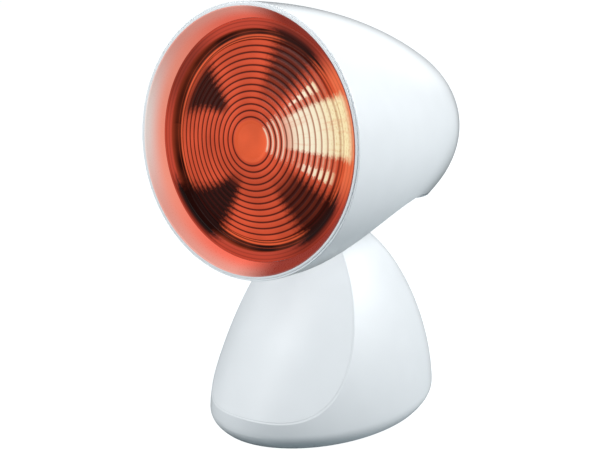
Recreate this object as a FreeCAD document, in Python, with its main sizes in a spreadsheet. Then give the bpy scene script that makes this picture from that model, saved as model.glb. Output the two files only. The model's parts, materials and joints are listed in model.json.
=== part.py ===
"""Infrared heat therapy lamp: a tilting lamp head on a domed base.

World frame: millimetres, +Z up, origin under the middle of the lamp's box on the floor, front of the lamp
towards -Y. Base frame: the same, but with its origin in the middle of the base's widest section.
Head frame: origin at the centre of the front rim, +Z forwards out of the face, +Y up, +X to the right.
Switch frame: origin at the centre of the switch seat, +Z out of the back of the base.
"""

import FreeCAD, Part
import Sketcher
import math
import os
import re

from FreeCAD import Placement, Rotation, Vector

SIZES = (
    ("middle_shift", 13.49, "how far the middle of the lamp's box lies behind the middle of the base"),
    ("overreach", 1.0, "how far a cutter stands out of what it cuts"),
    # base shell
    ("half_width", 52.1, "half width of the base where it is widest"),
    ("half_depth", 71.66, "half depth of the base where it is widest"),
    ("belly_height", 9.43, "height of the widest section above the floor"),
    ("dome_height", 98.1, "height from the widest section to where the dome would close"),
    ("dome_fullness", 1.618, "exponent of height in the dome's curve"),
    ("dome_roundness", 1.811, "exponent of width in the dome's curve"),
    ("dome_drift", 1.6, "how far the sections move back towards the top"),
    ("foot_tuck", 5.48, "how far the shell draws in at the floor"),
    ("floor_gap", 1.4, "height of the shell's lower edge above the floor"),
    ("top_height", 98.0, "height of the flat top under the head"),
    ("base_wall", 2.6, "wall of the base shell"),
    # front face of the base
    ("face_foot", -80.1, "place of the face's curve at the floor"),
    ("face_head", -11.8, "place of the face's curve at its upper end"),
    ("face_span", 99.0, "height of the face's curve"),
    ("face_arc", 508.0, "radius of the face seen from the side"),
    ("face_vertex", 34.9, "radius of the face's parabola at its middle line"),
    ("cover_wall", 2.5, "thickness of the front cover"),
    ("cover_gap", 0.2, "gap round the front cover"),
    ("cover_lip", 0.8, "lip of the base shell round the front cover"),
    ("backing_wall", 2.4, "wall of the base shell behind the front cover"),
    # bottom plate, feet and screws
    ("plate_wall", 2.5, "thickness of the base plate"),
    ("plate_rise", 1.8, "height of the base plate's underside"),
    ("plate_gap", 0.3, "gap between base plate and shell"),
    ("plate_rim", 1.6, "thickness of the stiffening rim on the base plate"),
    ("plate_rim_rise", 3.6, "height of the stiffening rim"),
    ("plate_rim_inset", 2.2, "place of the rim in from the plate's edge"),
    ("foot_radius", 7.5, "radius of a rubber foot"),
    ("foot_seat", 0.8, "depth of a foot's seat in the plate"),
    ("foot_x", 23.0, "sideways place of the feet"),
    ("foot_y", 40.0, "lengthways place of the feet"),
    ("boss_x", 30.0, "sideways place of the plate bosses"),
    ("boss_y", 24.0, "lengthways place of the plate bosses"),
    ("boss_radius", 4.5, "radius of a plate boss"),
    ("boss_rise", 30.0, "length of a plate boss"),
    ("boss_rib", 2.0, "thickness of the rib that carries a boss"),
    ("screw_shank", 1.6, "radius of a plate screw"),
    ("screw_head", 3.2, "radius of a plate screw's head"),
    ("screw_head_rise", 1.3, "height of a plate screw's head"),
    ("screw_grip", 12.0, "length of a plate screw in its boss"),
    ("screw_play", 0.3, "radial play of a screw in a clearance hole"),
    # terminal block
    ("block_y", 20.0, "lengthways place of the terminal block"),
    ("block_width", 26.0, "width of the terminal block"),
    ("block_depth", 12.0, "depth of the terminal block"),
    ("block_rise", 11.0, "height of the terminal block"),
    ("block_pitch", 8.0, "spacing of its screws"),
    ("block_well", 2.2, "radius of a screw well"),
    ("block_well_depth", 3.0, "depth of a screw well"),
    ("block_screw_length", 2.4, "length of a clamping screw"),
    ("block_screw", 1.9, "radius of a terminal screw"),
    # cable bushing
    ("inlet_height", 13.0, "height of the cable inlet"),
    ("inlet_recess", 0.9, "depth of the bushing's seat below the back of the dome"),
    ("inlet_flange", 6.4, "radius of the bushing's flange"),
    ("inlet_flange_wall", 2.4, "thickness of the bushing's flange"),
    ("inlet_sleeve", 4.6, "radius of the bushing's sleeve"),
    ("inlet_length", 6.0, "length of the bushing's sleeve"),
    ("inlet_bore", 3.4, "radius of the cable's bore"),
    ("inlet_gap", 0.1, "radial gap round the bushing"),
    # rocker switch
    ("switch_height", 33.5, "height of the switch seat's centre"),
    ("switch_recess", 2.4, "depth of the switch seat below the back of the dome"),
    ("switch_lean", 15.0, "angle by which the switch seat leans back"),
    ("seat_wall", 2.6, "wall of the switch seat"),
    ("seat_block", 7.8, "depth of the block behind the switch seat"),
    ("seat_width", 22.0, "width of the block behind the switch seat"),
    ("seat_length", 28.0, "length of the block behind the switch seat"),
    ("bezel_width", 14.8, "width of the switch's frame"),
    ("bezel_length", 20.8, "length of the switch's frame"),
    ("bezel_wall", 1.8, "thickness of the switch's frame"),
    ("bezel_gap", 1.2, "gap between the frame and the recess round it"),
    ("barrel_width", 12.8, "width of the switch's barrel"),
    ("barrel_length", 19.0, "length of the switch's barrel"),
    ("barrel_depth", 14.5, "depth of the switch's barrel"),
    ("barrel_gap", 0.2, "gap between barrel and seat"),
    ("rocker_width", 10.4, "width of the rocker"),
    ("rocker_length", 14.4, "length of the rocker"),
    ("rocker_gap", 0.3, "gap beside the rocker"),
    ("rocker_swing", 7.0, "tilt of the rocker to either side"),
    ("rocker_sink", 0.6, "depth of the rocker's pin below the seat"),
    ("rocker_edge", 4.4, "height of the rocker's ends over its pin"),
    ("rocker_waist", 3.0, "height of the rocker's middle over its pin"),
    ("rocker_back", 4.5, "depth of the rocker behind its pin"),
    ("rocker_taper", 0.8, "how much shorter the rocker is at its lower edge"),
    ("rocker_pin", 1.2, "radius of the rocker's pin"),
    ("pin_fit", 0.06, "radial running fit of the small pins"),
    ("blade_width", 6.3, "width of a switch terminal"),
    ("blade_wall", 0.8, "thickness of a switch terminal"),
    ("blade_length", 8.0, "length of a switch terminal"),
    ("blade_pitch", 9.0, "spacing of the switch terminals"),
    # tilt joint
    ("rest_tilt", 7.33, "angle by which the face looks up at rest"),
    ("pivot_back", 6.0, "place of the tilt axis behind the middle"),
    ("pivot_height", 107.0, "height of the tilt axis"),
    ("axis_rise", 45.8, "height of the lamp's axis over the tilt axis, in the head frame"),
    ("pivot_depth", 75.94, "depth of the tilt axis behind the rim, in the head frame"),
    ("knuckle_radius", 7.5, "radius of the post's knuckle and of the yoke's ears"),
    ("knuckle_half", 8.4, "half width of the post"),
    ("stem_half", 10.5, "half length of the post's stem"),
    ("post_gap", 0.3, "gap round the post in the flat top"),
    ("flange_half_width", 12.4, "half width of the post's flange"),
    ("flange_front", 11.5, "length of the flange in front of the axis"),
    ("flange_rear", 14.5, "length of the flange behind the axis"),
    ("flange_wall", 2.6, "thickness of the post's flange"),
    ("post_screw_x", 10.3, "sideways place of the post screws"),
    ("post_screw_front", 8.5, "place of the front post screws before the axis"),
    ("post_screw_rear", 11.5, "place of the rear post screws behind the axis"),
    ("post_screw_shank", 1.1, "radius of a post screw"),
    ("post_screw_head", 2.1, "radius of a post screw's head"),
    ("post_screw_grip", 1.6, "length of a post screw in the flat top"),
    ("axle_radius", 3.0, "radius of the tilt bolt"),
    ("axle_fit", 0.06, "radial running fit of the tilt bolt"),
    ("friction_wall", 0.7, "thickness of a friction washer"),
    ("friction_gap", 0.05, "side play between knuckle and friction washer"),
    ("friction_radius", 6.6, "radius of a friction washer"),
    ("yoke_wall", 1.6, "thickness of the yoke's sheet"),
    ("outer_washer_wall", 0.8, "thickness of an outer washer"),
    ("outer_washer_radius", 6.2, "radius of an outer washer"),
    ("hex_radius", 5.6, "corner radius of bolt head and nut"),
    ("hex_rise", 3.8, "height of bolt head and nut"),
    ("axle_tail", 1.0, "length of the bolt beyond its nut"),
    ("web_sink", 0.75, "how far the yoke's web stands into the underside cover's slot"),
    ("web_length", 39.0, "length of the web before the tab"),
    ("web_shoulder", 6.0, "length of the slope from web to ear"),
    ("cheek_length", 26.0, "length of the cheeks' lower edge before the tab"),
    ("cheek_rise", 2.6, "height of the cheeks at their rear end"),
    ("nose_room", 21.35, "room between the tab and the housing's nose"),
    ("tab_rise", 8.0, "height of the tab over the lamp's axis"),
    ("yoke_screw_x", 6.5, "sideways place of the yoke screws"),
    ("yoke_screw_inset", 7.0, "place of the yoke screws before the tab"),
    ("yoke_boss", 3.6, "radius of a yoke boss"),
    ("small_shank", 1.5, "radius of yoke and lampholder screws"),
    ("small_head", 2.8, "radius of their heads"),
    ("small_head_rise", 2.0, "height of their heads"),
    ("yoke_screw_grip", 7.0, "length of a yoke screw in its boss"),
    ("holder_screw_x", 7.0, "sideways place of the lampholder screws"),
    ("holder_screw_grip", 4.0, "length of a lampholder screw in the porcelain"),
    # head housing
    ("rim_round", 0.4, "bevel of the housing's front edge"),
    ("rim_edge", 0.6, "wall of the housing's front edge outside its rebate"),
    ("rim_rebate", 0.8, "depth of the rebate that the ring's lip sits in"),
    ("rim_groove", 0.7, "open groove between the edge and the ring's lip"),
    ("lead_angle", 1.44, "angle of the flank at the front edge"),
    ("flank_arc", 347.0, "radius of the flank"),
    ("flank_turn", 20.65, "angle that the flank turns through"),
    ("shoulder_arc", 104.3, "radius of the shoulder"),
    ("shoulder_turn", 21.44, "angle that the shoulder turns through"),
    ("head_wall", 2.4, "wall of the housing"),
    ("arch_radius", 85.4, "radius of the arched opening below"),
    ("arch_crown", 26.45, "place of the arch's highest line below the lamp's axis"),
    ("arch_depth", 83.76, "depth of the arch's centre"),
    ("ledge_depth", 15.4, "depth of the ledge that carries the heat shield"),
    ("ledge_wall", 2.0, "thickness of the ledge"),
    ("ledge_play", 0.3, "gap between the ledge and the heat shield's bowl"),
    ("vent_radius", 20.0, "radius of the round field of air slots"),
    ("vent_width", 2.6, "width of an air slot"),
    ("vent_pitch", 5.4, "spacing of the air slots"),
    ("vent_rows", 3, "air slots to either side of the middle one"),
    ("vent_inset", 7.0, "depth behind the tab from which the air slots reach out"),
    # front ring
    ("lip_proud", 0.6, "how far the ring's lip stands before the housing"),
    ("lip_wall", 1.5, "width of the lip"),
    ("collar_play", 0.6, "gap between the ring's collar and the housing at the front"),
    ("collar_depth", 9.4, "depth of the collar"),
    ("collar_wall", 1.5, "wall of the collar"),
    ("glass_play", 0.7, "gap between the lamp's edge and the foot of the cone"),
    ("cone_depth", 8.0, "depth of the cone"),
    ("cone_flare", 5.1, "how much wider the cone is at its mouth than at its foot"),
    ("cone_wall", 1.2, "wall of the cone"),
    # reflector lamp
    ("lens_depth", 4.0, "depth of the lens's middle"),
    ("lens_arc", 205.0, "radius of the lens's dome"),
    ("lens_glass", 3.2, "thickness of the lens"),
    ("lens_lap", 0.6, "how far the lens's inner side keeps from the reflector"),
    ("ridge_inner", 9.0, "radius of the plain middle of the lens"),
    ("ridge_rise", 0.45, "height of a ridge"),
    ("ridge_pitch", 3.2, "spacing of the ridges"),
    ("groove_depth", 11.5, "depth of the groove round the ridges"),
    ("groove_slope", 0.4, "slope of that groove's sides"),
    ("groove_glass", 2.5, "thickness of the glass under the groove"),
    ("glass_edge", 5.0, "width of the lamp's plain edge"),
    ("edge_bevel", 0.8, "bevel of the lamp's edge"),
    ("glass_radius", 61.0, "radius of the lamp's edge"),
    ("glass_front", 7.7, "depth of the edge's front"),
    ("glass_seam", 10.2, "depth of the seam between lens and reflector"),
    ("bulb_arc", 260.0, "radius of the reflector seen from the side"),
    ("bulb_throat", 25.0, "radius of the reflector's throat"),
    ("throat_gap", 18.0, "length between the throat and the neck's end"),
    ("neck_radius", 16.5, "radius of the glass neck"),
    ("neck_flare", 1.5, "how much wider the neck is where it leaves the throat"),
    ("neck_length", 6.0, "length of the neck"),
    ("bulb_glass", 1.8, "thickness of the reflector's glass"),
    ("filament_set", 4.4, "place of the filament behind the throat"),
    ("filament_reach", 7.0, "radius of the filament's loop"),
    ("filament_radius", 0.5, "radius of the filament's coil"),
    ("stay_radius", 0.7, "radius of a filament post"),
    # screw cap
    ("cap_collar", 0.5, "how far the cap's collar stands out from the neck"),
    ("collar_length", 4.0, "length of the cap's collar"),
    ("cap_radius", 13.2, "radius of the cap's screw shell"),
    ("cap_shoulder", 2.0, "length of the slope from collar to screw shell"),
    ("cap_end", 11.0, "radius of the cap's end"),
    ("cap_length", 28.0, "length of the cap"),
    ("cap_taper", 2.2, "length of the slope at the cap's end"),
    ("insulator_step", 0.6, "how far the insulator is set in from the cap's end"),
    ("insulator_end", 5.4, "radius of the insulator's end"),
    ("insulator_rise", 3.0, "height of the insulator"),
    ("contact_radius", 4.8, "radius of the centre contact"),
    ("contact_rise", 1.8, "height of the centre contact"),
    # lampholder
    ("holder_wall", 5.5, "wall of the lampholder"),
    ("holder_play", 2.0, "gap between the cap's collar and the lampholder's mouth"),
    ("holder_taper", 11.0, "length over which the lampholder narrows"),
    ("holder_end", 14.0, "radius of the lampholder's end"),
    ("holder_back", 6.0, "thickness of the lampholder behind its bore"),
    ("cap_play", 0.25, "radial gap between the cap and the lampholder's screw shell"),
    ("sleeve_play", 0.1, "radial gap between the screw shell and the porcelain"),
    ("sleeve_wall", 0.5, "sheet of the screw shell"),
    ("sleeve_sink", 0.5, "depth of the screw shell in the lampholder's mouth"),
    ("sleeve_rise", 1.6, "distance of the screw shell from the bore's floor"),
    ("sleeve_lip", 2.4, "width of the screw shell's turned-in end"),
    ("spring_radius", 5.4, "radius of the lampholder's centre contact"),
    ("spring_wall", 1.0, "thickness of the centre contact"),
    ("spring_rise", 2.0, "height of the centre contact over the bore's floor"),
    ("spring_gap", 0.2, "gap between the two centre contacts"),
    ("spring_stem", 1.6, "radius of the centre contact's stem"),
    # heat shield and underside cover
    ("shield_gap", 3.2, "gap between the reflector and the heat shield"),
    ("shield_side", 2.4, "gap between the lamp's edge and the heat shield"),
    ("shield_wall", 0.8, "sheet of the heat shield"),
    ("flange_play", 0.6, "gap between the heat shield's flange and the housing"),
    ("shield_end", 24.8, "inner radius of the heat shield's end"),
    ("shield_stop", 7.0, "length of bare neck behind the heat shield's end"),
    ("pan_rise", 1.6, "height of the underside cover over the arch"),
    ("pan_wall", 1.6, "thickness of the underside cover"),
    ("pan_gap", 0.3, "gap between the underside cover and the housing"),
    ("pan_front", 19.0, "depth of the underside cover's front edge"),
    ("pan_shield_gap", 0.8, "gap between the underside cover and the heat shield"),
    ("pan_slot_play", 1.4, "gap between the yoke and its slot in the underside cover"),
    ("pan_slot_room", 2.0, "length of that slot behind the cheeks"),
)

# names that follow from the sizes: alias, formula and what it is
DERIVED = (
    ("rim_radius", "glass_radius + glass_play + cone_flare + lip_wall + rim_groove + rim_edge",
     "outer radius of the housing at its front edge"),
    ("flank_end", "lead_angle + flank_turn", "angle at which the flank ends"),
    ("shoulder_end", "flank_end + shoulder_turn", "angle at which the shoulder ends"),
    ("flank_x", "rim_radius - flank_arc * cos(lead_angle)", "radial place of the flank's centre"),
    ("flank_z", "flank_arc * sin(lead_angle)", "place of the flank's centre along the lamp's axis"),
    ("shoulder_x", "flank_x + (flank_arc - shoulder_arc) * cos(flank_end)",
     "radial place of the shoulder's centre"),
    ("shoulder_z", "flank_z - (flank_arc - shoulder_arc) * sin(flank_end)",
     "place of the shoulder's centre along the lamp's axis"),
    ("nose_arc", "(shoulder_x + shoulder_arc * cos(shoulder_end)) / cos(shoulder_end)", "radius of the nose"),
    ("nose_z", "shoulder_z + (nose_arc - shoulder_arc) * sin(shoulder_end)",
     "place of the nose's centre along the lamp's axis"),
    ("tab_depth", "nose_arc - nose_z - nose_room", "depth of the tab that carries the lampholder"),
    ("vent_depth", "tab_depth + vent_inset", "depth from which the air slots reach out"),
    ("holder_floor", "tab_depth - holder_back", "depth of the bore's floor"),
    ("contact_face", "holder_floor - spring_rise - spring_wall", "depth of the holder's centre contact"),
    ("insulator_depth", "contact_face - spring_gap - contact_rise", "depth of the insulator's end"),
    ("cap_end_depth", "insulator_depth - insulator_rise", "depth of the cap's end"),
    ("neck_depth", "cap_end_depth - cap_length", "depth of the neck's end"),
    ("cap_collar_depth", "neck_depth + collar_length", "depth of the collar's end"),
    ("holder_front", "cap_collar_depth + holder_play", "depth of the lampholder's mouth"),
    ("holder_shoulder", "tab_depth - holder_taper", "depth at which the lampholder narrows"),
    ("throat_depth", "neck_depth - throat_gap", "depth of the throat"),
    ("filament_depth", "throat_depth + filament_set", "depth of the filament"),
    ("shield_end_depth", "neck_depth - shield_stop", "depth of the heat shield's end"),
    ("yoke_screw_depth", "tab_depth - yoke_screw_inset", "depth of the yoke screws"),
    ("cheek_rear", "tab_depth - cheek_length", "depth at which the cheeks end"),
    ("web_front", "tab_depth - web_length", "depth of the web's front edge"),
    ("pan_slot_end", "cheek_rear + pan_slot_room", "depth of the slot's end"),
    ("arch_drop", "arch_crown + arch_radius", "place of the arch's centre below the lamp's axis"),
    ("web_drop", "arch_crown - pan_rise - pan_wall + web_sink - yoke_wall",
     "place of the yoke's web below the lamp's axis"),
    ("groove_outer", "glass_radius - glass_edge", "radius of the groove's outer side"),
)

LENS_RIDGES = 13
DOME_STEPS = (0.18, 0.36, 0.52, 0.66, 0.78, 0.89, 1.0)

doc = FreeCAD.newDocument("HeatLamp")
sheet = doc.addObject("Spreadsheet::Sheet", "Size")
sub_parts = []


def fill_sheet():
    """One row for each dimension: its name, its value or formula, and what it is."""
    for row, (alias, value, note) in enumerate(SIZES + DERIVED, start=1):
        sheet.set(f"A{row}", alias)
        sheet.set(f"B{row}", "=" + value if isinstance(value, str) else str(value))
        sheet.set(f"C{row}", note)
        sheet.setAlias(f"B{row}", alias)
    doc.recompute()


ALIASES = {alias for alias, _, _ in SIZES + DERIVED}


def bound(text):
    """The expression with each driving dimension's name led back to the sheet."""
    return re.sub(r"[a-z][a-z_]*", lambda m: "Size." + m[0] if m[0] in ALIASES else m[0], str(text))


def value_of(text):
    return float(sheet.evalExpression(bound(text)))


def bind(item, **settings):
    """Binds properties to expressions; a double underscore stands for a dot."""
    for name, text in settings.items():
        item.setExpression("." + name.replace("__", "."), bound(text))


# ---------------------------------------------------------------- sketches and features


def new_body(label):
    body = doc.addObject("PartDesign::Body", label)
    body.Label = label
    return body


def new_sketch(body, role, height="0"):
    """A sketch on one of the body's own planes, moved along the plane's normal by height."""
    sketch = body.newObject("Sketcher::SketchObject", body.Name + "_sketch")
    plane = next(item for item in body.Origin.OriginFeatures if item.Role == role)
    sketch.AttachmentSupport = [(plane, "")]
    sketch.MapMode = "FlatFace"
    if height != "0":
        sketch.AttachmentOffset = Placement(Vector(0, 0, value_of(height)), Rotation())
        bind(sketch, AttachmentOffset__Base__z=height)
    return sketch


def hold_coordinate(sketch, kind, edge, end, text):
    """Fixes one coordinate of an edge's end: on the axis where it is zero, else by a bound distance."""
    if text == "0":
        axis = -2 if kind == "DistanceX" else -1
        sketch.addConstraint(Sketcher.Constraint("PointOnObject", edge, end, axis))
        return
    number = sketch.addConstraint(Sketcher.Constraint(kind, -1, 1, edge, end, value_of(text)))
    sketch.setExpression(f"Constraints[{number}]", bound(text))


def arc_between(start, end, side, radius):
    """The arc from start to end whose centre lies left or right of the way there."""
    chord = end - start
    along = Vector(chord)
    along.normalize()
    left = Vector(-along.y, along.x, 0)
    depth = math.sqrt(max(radius**2 - chord.Length**2 / 4, 0))
    centre = (start + end) * 0.5 + left * (depth if side == "left" else -depth)
    first, last = (start, end) if side == "left" else (end, start)
    angles = [math.atan2(p.y - centre.y, p.x - centre.x) for p in (first, last)]
    return Part.ArcOfCircle(Part.Circle(centre, Vector(0, 0, 1), radius), *angles)


def draw(sketch, path):
    """Draws a closed outline. Each step is (x, y) or (x, y, side, radius) for an arc that leads to it."""
    points = [Vector(value_of(step[0]), value_of(step[1]), 0) for step in path]
    ends = []
    for number, step in enumerate(path):
        start, end = points[number - 1], points[number]
        if len(step) == 2:
            edge = sketch.addGeometry(Part.LineSegment(start, end))
            ends.append((edge, 1, 2))
            continue
        side, radius = step[2], step[3]
        edge = sketch.addGeometry(arc_between(start, end, side, value_of(radius)))
        ends.append((edge, 1, 2) if side == "left" else (edge, 2, 1))
        hold = sketch.addConstraint(Sketcher.Constraint("Radius", edge, value_of(radius)))
        sketch.setExpression(f"Constraints[{hold}]", bound(radius))
    for number, step in enumerate(path):
        edge, _, last = ends[number]
        after, first, _ = ends[(number + 1) % len(path)]
        sketch.addConstraint(Sketcher.Constraint("Coincident", edge, last, after, first))
        hold_coordinate(sketch, "DistanceX", edge, last, step[0])
        hold_coordinate(sketch, "DistanceY", edge, last, step[1])


def draw_circle(sketch, x, y, radius):
    middle = Vector(value_of(x), value_of(y), 0)
    edge = sketch.addGeometry(Part.Circle(middle, Vector(0, 0, 1), value_of(radius)))
    hold_coordinate(sketch, "DistanceX", edge, 3, x)
    hold_coordinate(sketch, "DistanceY", edge, 3, y)
    hold = sketch.addConstraint(Sketcher.Constraint("Radius", edge, value_of(radius)))
    sketch.setExpression(f"Constraints[{hold}]", bound(radius))


def draw_ellipse(sketch, half_x, half_y, y):
    """An ellipse on the sketch's vertical axis, with its long half along that axis."""
    middle = value_of(y)
    long_end = Vector(0, middle + value_of(half_y), 0)
    short_end = Vector(value_of(half_x), middle, 0)
    edge = sketch.addGeometry(Part.Ellipse(long_end, short_end, Vector(0, middle, 0)))
    sketch.exposeInternalGeometry(edge)
    long_axis, short_axis = edge + 1, edge + 2
    sketch.addConstraint(Sketcher.Constraint("Vertical", long_axis))
    hold_coordinate(sketch, "DistanceX", edge, 3, "0")
    hold_coordinate(sketch, "DistanceY", edge, 3, y)
    for axis, half in ((long_axis, half_y), (short_axis, half_x)):
        whole = f"({half}) + ({half})"
        hold = sketch.addConstraint(Sketcher.Constraint("Distance", axis, value_of(whole)))
        sketch.setExpression(f"Constraints[{hold}]", bound(whole))


def spin(label, path):
    """A body turned about its own Z axis from an outline of (radius, height)."""
    body = new_body(label)
    sketch = new_sketch(body, "XZ_Plane")
    draw(sketch, path)
    turned = body.newObject("PartDesign::Revolution", label + "_turned")
    turned.Profile = sketch
    turned.ReferenceAxis = (sketch, ["V_Axis"])
    turned.Angle = 360
    return body


def pad(label, role, drawing, length, height="0", middle=False):
    """A body pushed out of a plane; drawing(sketch) draws its outline."""
    body = new_body(label)
    sketch = new_sketch(body, role, height)
    drawing(sketch)
    raised = body.newObject("PartDesign::Pad", label + "_raised")
    raised.Profile = sketch
    raised.Midplane = middle
    raised.Length = value_of(length)
    bind(raised, Length=length)
    return body


def outline(*path):
    return lambda sketch: draw(sketch, path)


def ring(x, y, outer, inner):
    def drawing(sketch):
        draw_circle(sketch, x, y, outer)
        draw_circle(sketch, x, y, inner)

    return drawing


def disc(x, y, radius):
    return lambda sketch: draw_circle(sketch, x, y, radius)


def rod(x, y, z, radius, length, axis="z"):
    """A cylinder from a point along the x, y or z axis."""
    item = doc.addObject("Part::Cylinder", "rod")
    turns = {"x": Rotation(Vector(0, 1, 0), 90), "y": Rotation(Vector(1, 0, 0), -90), "z": Rotation()}
    item.Placement = Placement(Vector(), turns[axis])
    bind(item, Radius=radius, Height=length, Placement__Base__x=x, Placement__Base__y=y)
    bind(item, Placement__Base__z=z)
    return item


def block(x, y, z, width, depth, height):
    """A box whose width is centred on x; it starts at y and z."""
    item = doc.addObject("Part::Box", "block")
    bind(item, Length=width, Width=depth, Height=height)
    bind(item, Placement__Base__x=f"{x} - ({width}) / 2", Placement__Base__y=y, Placement__Base__z=z)
    return item


def fuse(label, *items):
    joined = doc.addObject("Part::MultiFuse", label)
    joined.Shapes = list(items)
    joined.Label = label
    return joined


def common(label, *items):
    shared = doc.addObject("Part::MultiCommon", label)
    shared.Shapes = list(items)
    shared.Label = label
    return shared


def cut(label, item, *tools):
    trimmed = doc.addObject("Part::Cut", label)
    trimmed.Base = item
    trimmed.Tool = tools[0] if len(tools) == 1 else fuse(label + "_cutters", *tools)
    trimmed.Label = label
    return trimmed


def group(label, *items):
    """Separate solids of one sub-part, side by side."""
    joined = doc.addObject("Part::Compound", label)
    joined.Links = list(items)
    joined.Label = label
    return joined


def keep(item):
    sub_parts.append(item)


def on_base(item):
    """Puts a sub-part that was made in the base frame where the base stands."""
    bind(item, Placement__Base__y="-middle_shift")
    keep(item)


RIM_BACK = "axis_rise * sin(rest_tilt) - pivot_depth * cos(rest_tilt)"
RIM_RISE = "axis_rise * cos(rest_tilt) + pivot_depth * sin(rest_tilt)"


def on_head(item):
    """Puts a sub-part that was made in the head frame where the head is at rest."""
    item.Placement = Placement(Vector(), Rotation(Vector(1, 0, 0), 90))
    bind(
        item,
        Placement__Base__y=f"pivot_back - middle_shift + {RIM_BACK}",
        Placement__Base__z=f"pivot_height + {RIM_RISE}",
        Placement__Rotation__Angle="90 - rest_tilt",
    )
    keep(item)


def on_switch(item, shift="0", sink="0", swing="0"):
    """Lays an item that was made in the switch frame on the leaning seat at the back of the base."""
    place = f"{back_of_dome('switch_height')} - switch_recess - ({shift})"
    item.Placement = Placement(Vector(), Rotation(Vector(-1, 0, 0), 90))
    bind(
        item,
        Placement__Base__y=f"{place} - ({sink}) * cos(switch_lean)",
        Placement__Base__z=f"switch_height - ({sink}) * sin(switch_lean)",
        Placement__Rotation__Angle=f"90 - switch_lean + ({swing})",
    )
    return item


# ---------------------------------------------------------------- base


def dome_scale(height):
    """Share of the widest section that the dome keeps at a height."""
    rise = f"(({height}) - belly_height) / dome_height"
    return f"pow(1 - pow({rise}; dome_fullness); 1 / dome_roundness)"


def tuck_scale(height):
    """The same below the widest section, where the shell draws in to the floor."""
    return f"(1 - foot_tuck / half_width * pow(1 - ({height}) / belly_height; 2))"


def dome(label, inset, top, overlap="0"):
    """The base's dome, drawn in by inset, from the floor gap less overlap up to top."""
    bottom = f"floor_gap - ({overlap})"
    low = [bottom, f"(({bottom}) + belly_height) / 2"]
    high = ["belly_height"]
    high += [f"belly_height + (({top}) - belly_height) * {step}" for step in DOME_STEPS]
    body = new_body(label)
    sections = []
    for height in low + high:
        scale = tuck_scale(height) if height in low else dome_scale(height)
        drift = "0" if height in low + high[:1] else f"dome_drift * (({height}) - belly_height) / dome_height"
        sketch = new_sketch(body, "XY_Plane", height)
        draw_ellipse(sketch, f"half_width * {scale} - ({inset})", f"half_depth * {scale} - ({inset})", drift)
        sections.append(sketch)
    loft = body.newObject("PartDesign::AdditiveLoft", label + "_loft")
    loft.Profile = sections[0]
    loft.Sections = sections[1:]
    return body


def front_space(label, shift):
    """All that lies in front of the base's convex face, with the face moved back by shift."""
    body = new_body(label)
    spine = new_sketch(body, "YZ_Plane")
    start = Vector(value_of(f"face_foot + ({shift})"), 0, 0)
    end = Vector(value_of(f"face_head + ({shift})"), value_of("face_span"), 0)
    edge = spine.addGeometry(arc_between(start, end, "right", value_of("face_arc")))
    hold_coordinate(spine, "DistanceX", edge, 2, f"face_foot + ({shift})")
    hold_coordinate(spine, "DistanceY", edge, 2, "0")
    hold_coordinate(spine, "DistanceX", edge, 1, f"face_head + ({shift})")
    hold_coordinate(spine, "DistanceY", edge, 1, "face_span")
    radius = spine.addConstraint(Sketcher.Constraint("Radius", edge, value_of("face_arc")))
    spine.setExpression(f"Constraints[{radius}]", bound("face_arc"))

    profile = new_sketch(body, "XY_Plane")
    side = value_of("1.2 * half_width")
    crown = start.x
    wing = side**2 / (2 * value_of("face_vertex"))
    left, right = Vector(-side, crown + wing, 0), Vector(side, crown + wing, 0)
    parabola = Part.BSplineCurve()
    parabola.buildFromPolesMultsKnots([left, Vector(0, crown - wing, 0), right], [3, 3], [0.0, 1.0], False, 2)
    profile.addGeometry(parabola)
    far_right, far_left = Vector(side, crown - side, 0), Vector(-side, crown - side, 0)
    corners = (right, far_right, far_left, left)
    for first, last in zip(corners, corners[1:]):
        profile.addGeometry(Part.LineSegment(first, last))

    swept = body.newObject("PartDesign::AdditivePipe", label + "_swept")
    swept.Profile = profile
    swept.Spine = spine
    swept.Mode = "Fixed"
    return body


def back_of_dome(height):
    """Place of the dome's back on the middle line at a height."""
    return f"(half_depth * {dome_scale(height)} + dome_drift * ({height} - belly_height) / dome_height)"


PLATE_TOP = "(plate_rise + plate_wall)"
INLET_SEAT = f"({back_of_dome('inlet_height')} - inlet_recess)"
PLATE_HALF_X = f"(half_width * {tuck_scale('floor_gap')} - base_wall - plate_gap)"
PLATE_HALF_Y = f"(half_depth * {tuck_scale('floor_gap')} - base_wall - plate_gap)"
CORNERS = ((1, -1), (-1, -1), (1, 1), (-1, 1))
RIM_TOP = f"({PLATE_TOP} + plate_rim_rise)"


def switch_seat():
    """The block that carries the switch, inside the back wall."""
    carrier = block("0", "-seat_length / 2", "-seat_wall", "seat_width", "seat_length", "seat_block")
    return on_switch(carrier_body(carrier))


def carrier_body(item):
    """A primitive wrapped so that it can carry a placement of its own."""
    return group(item.Name + "_placed", item)


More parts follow.
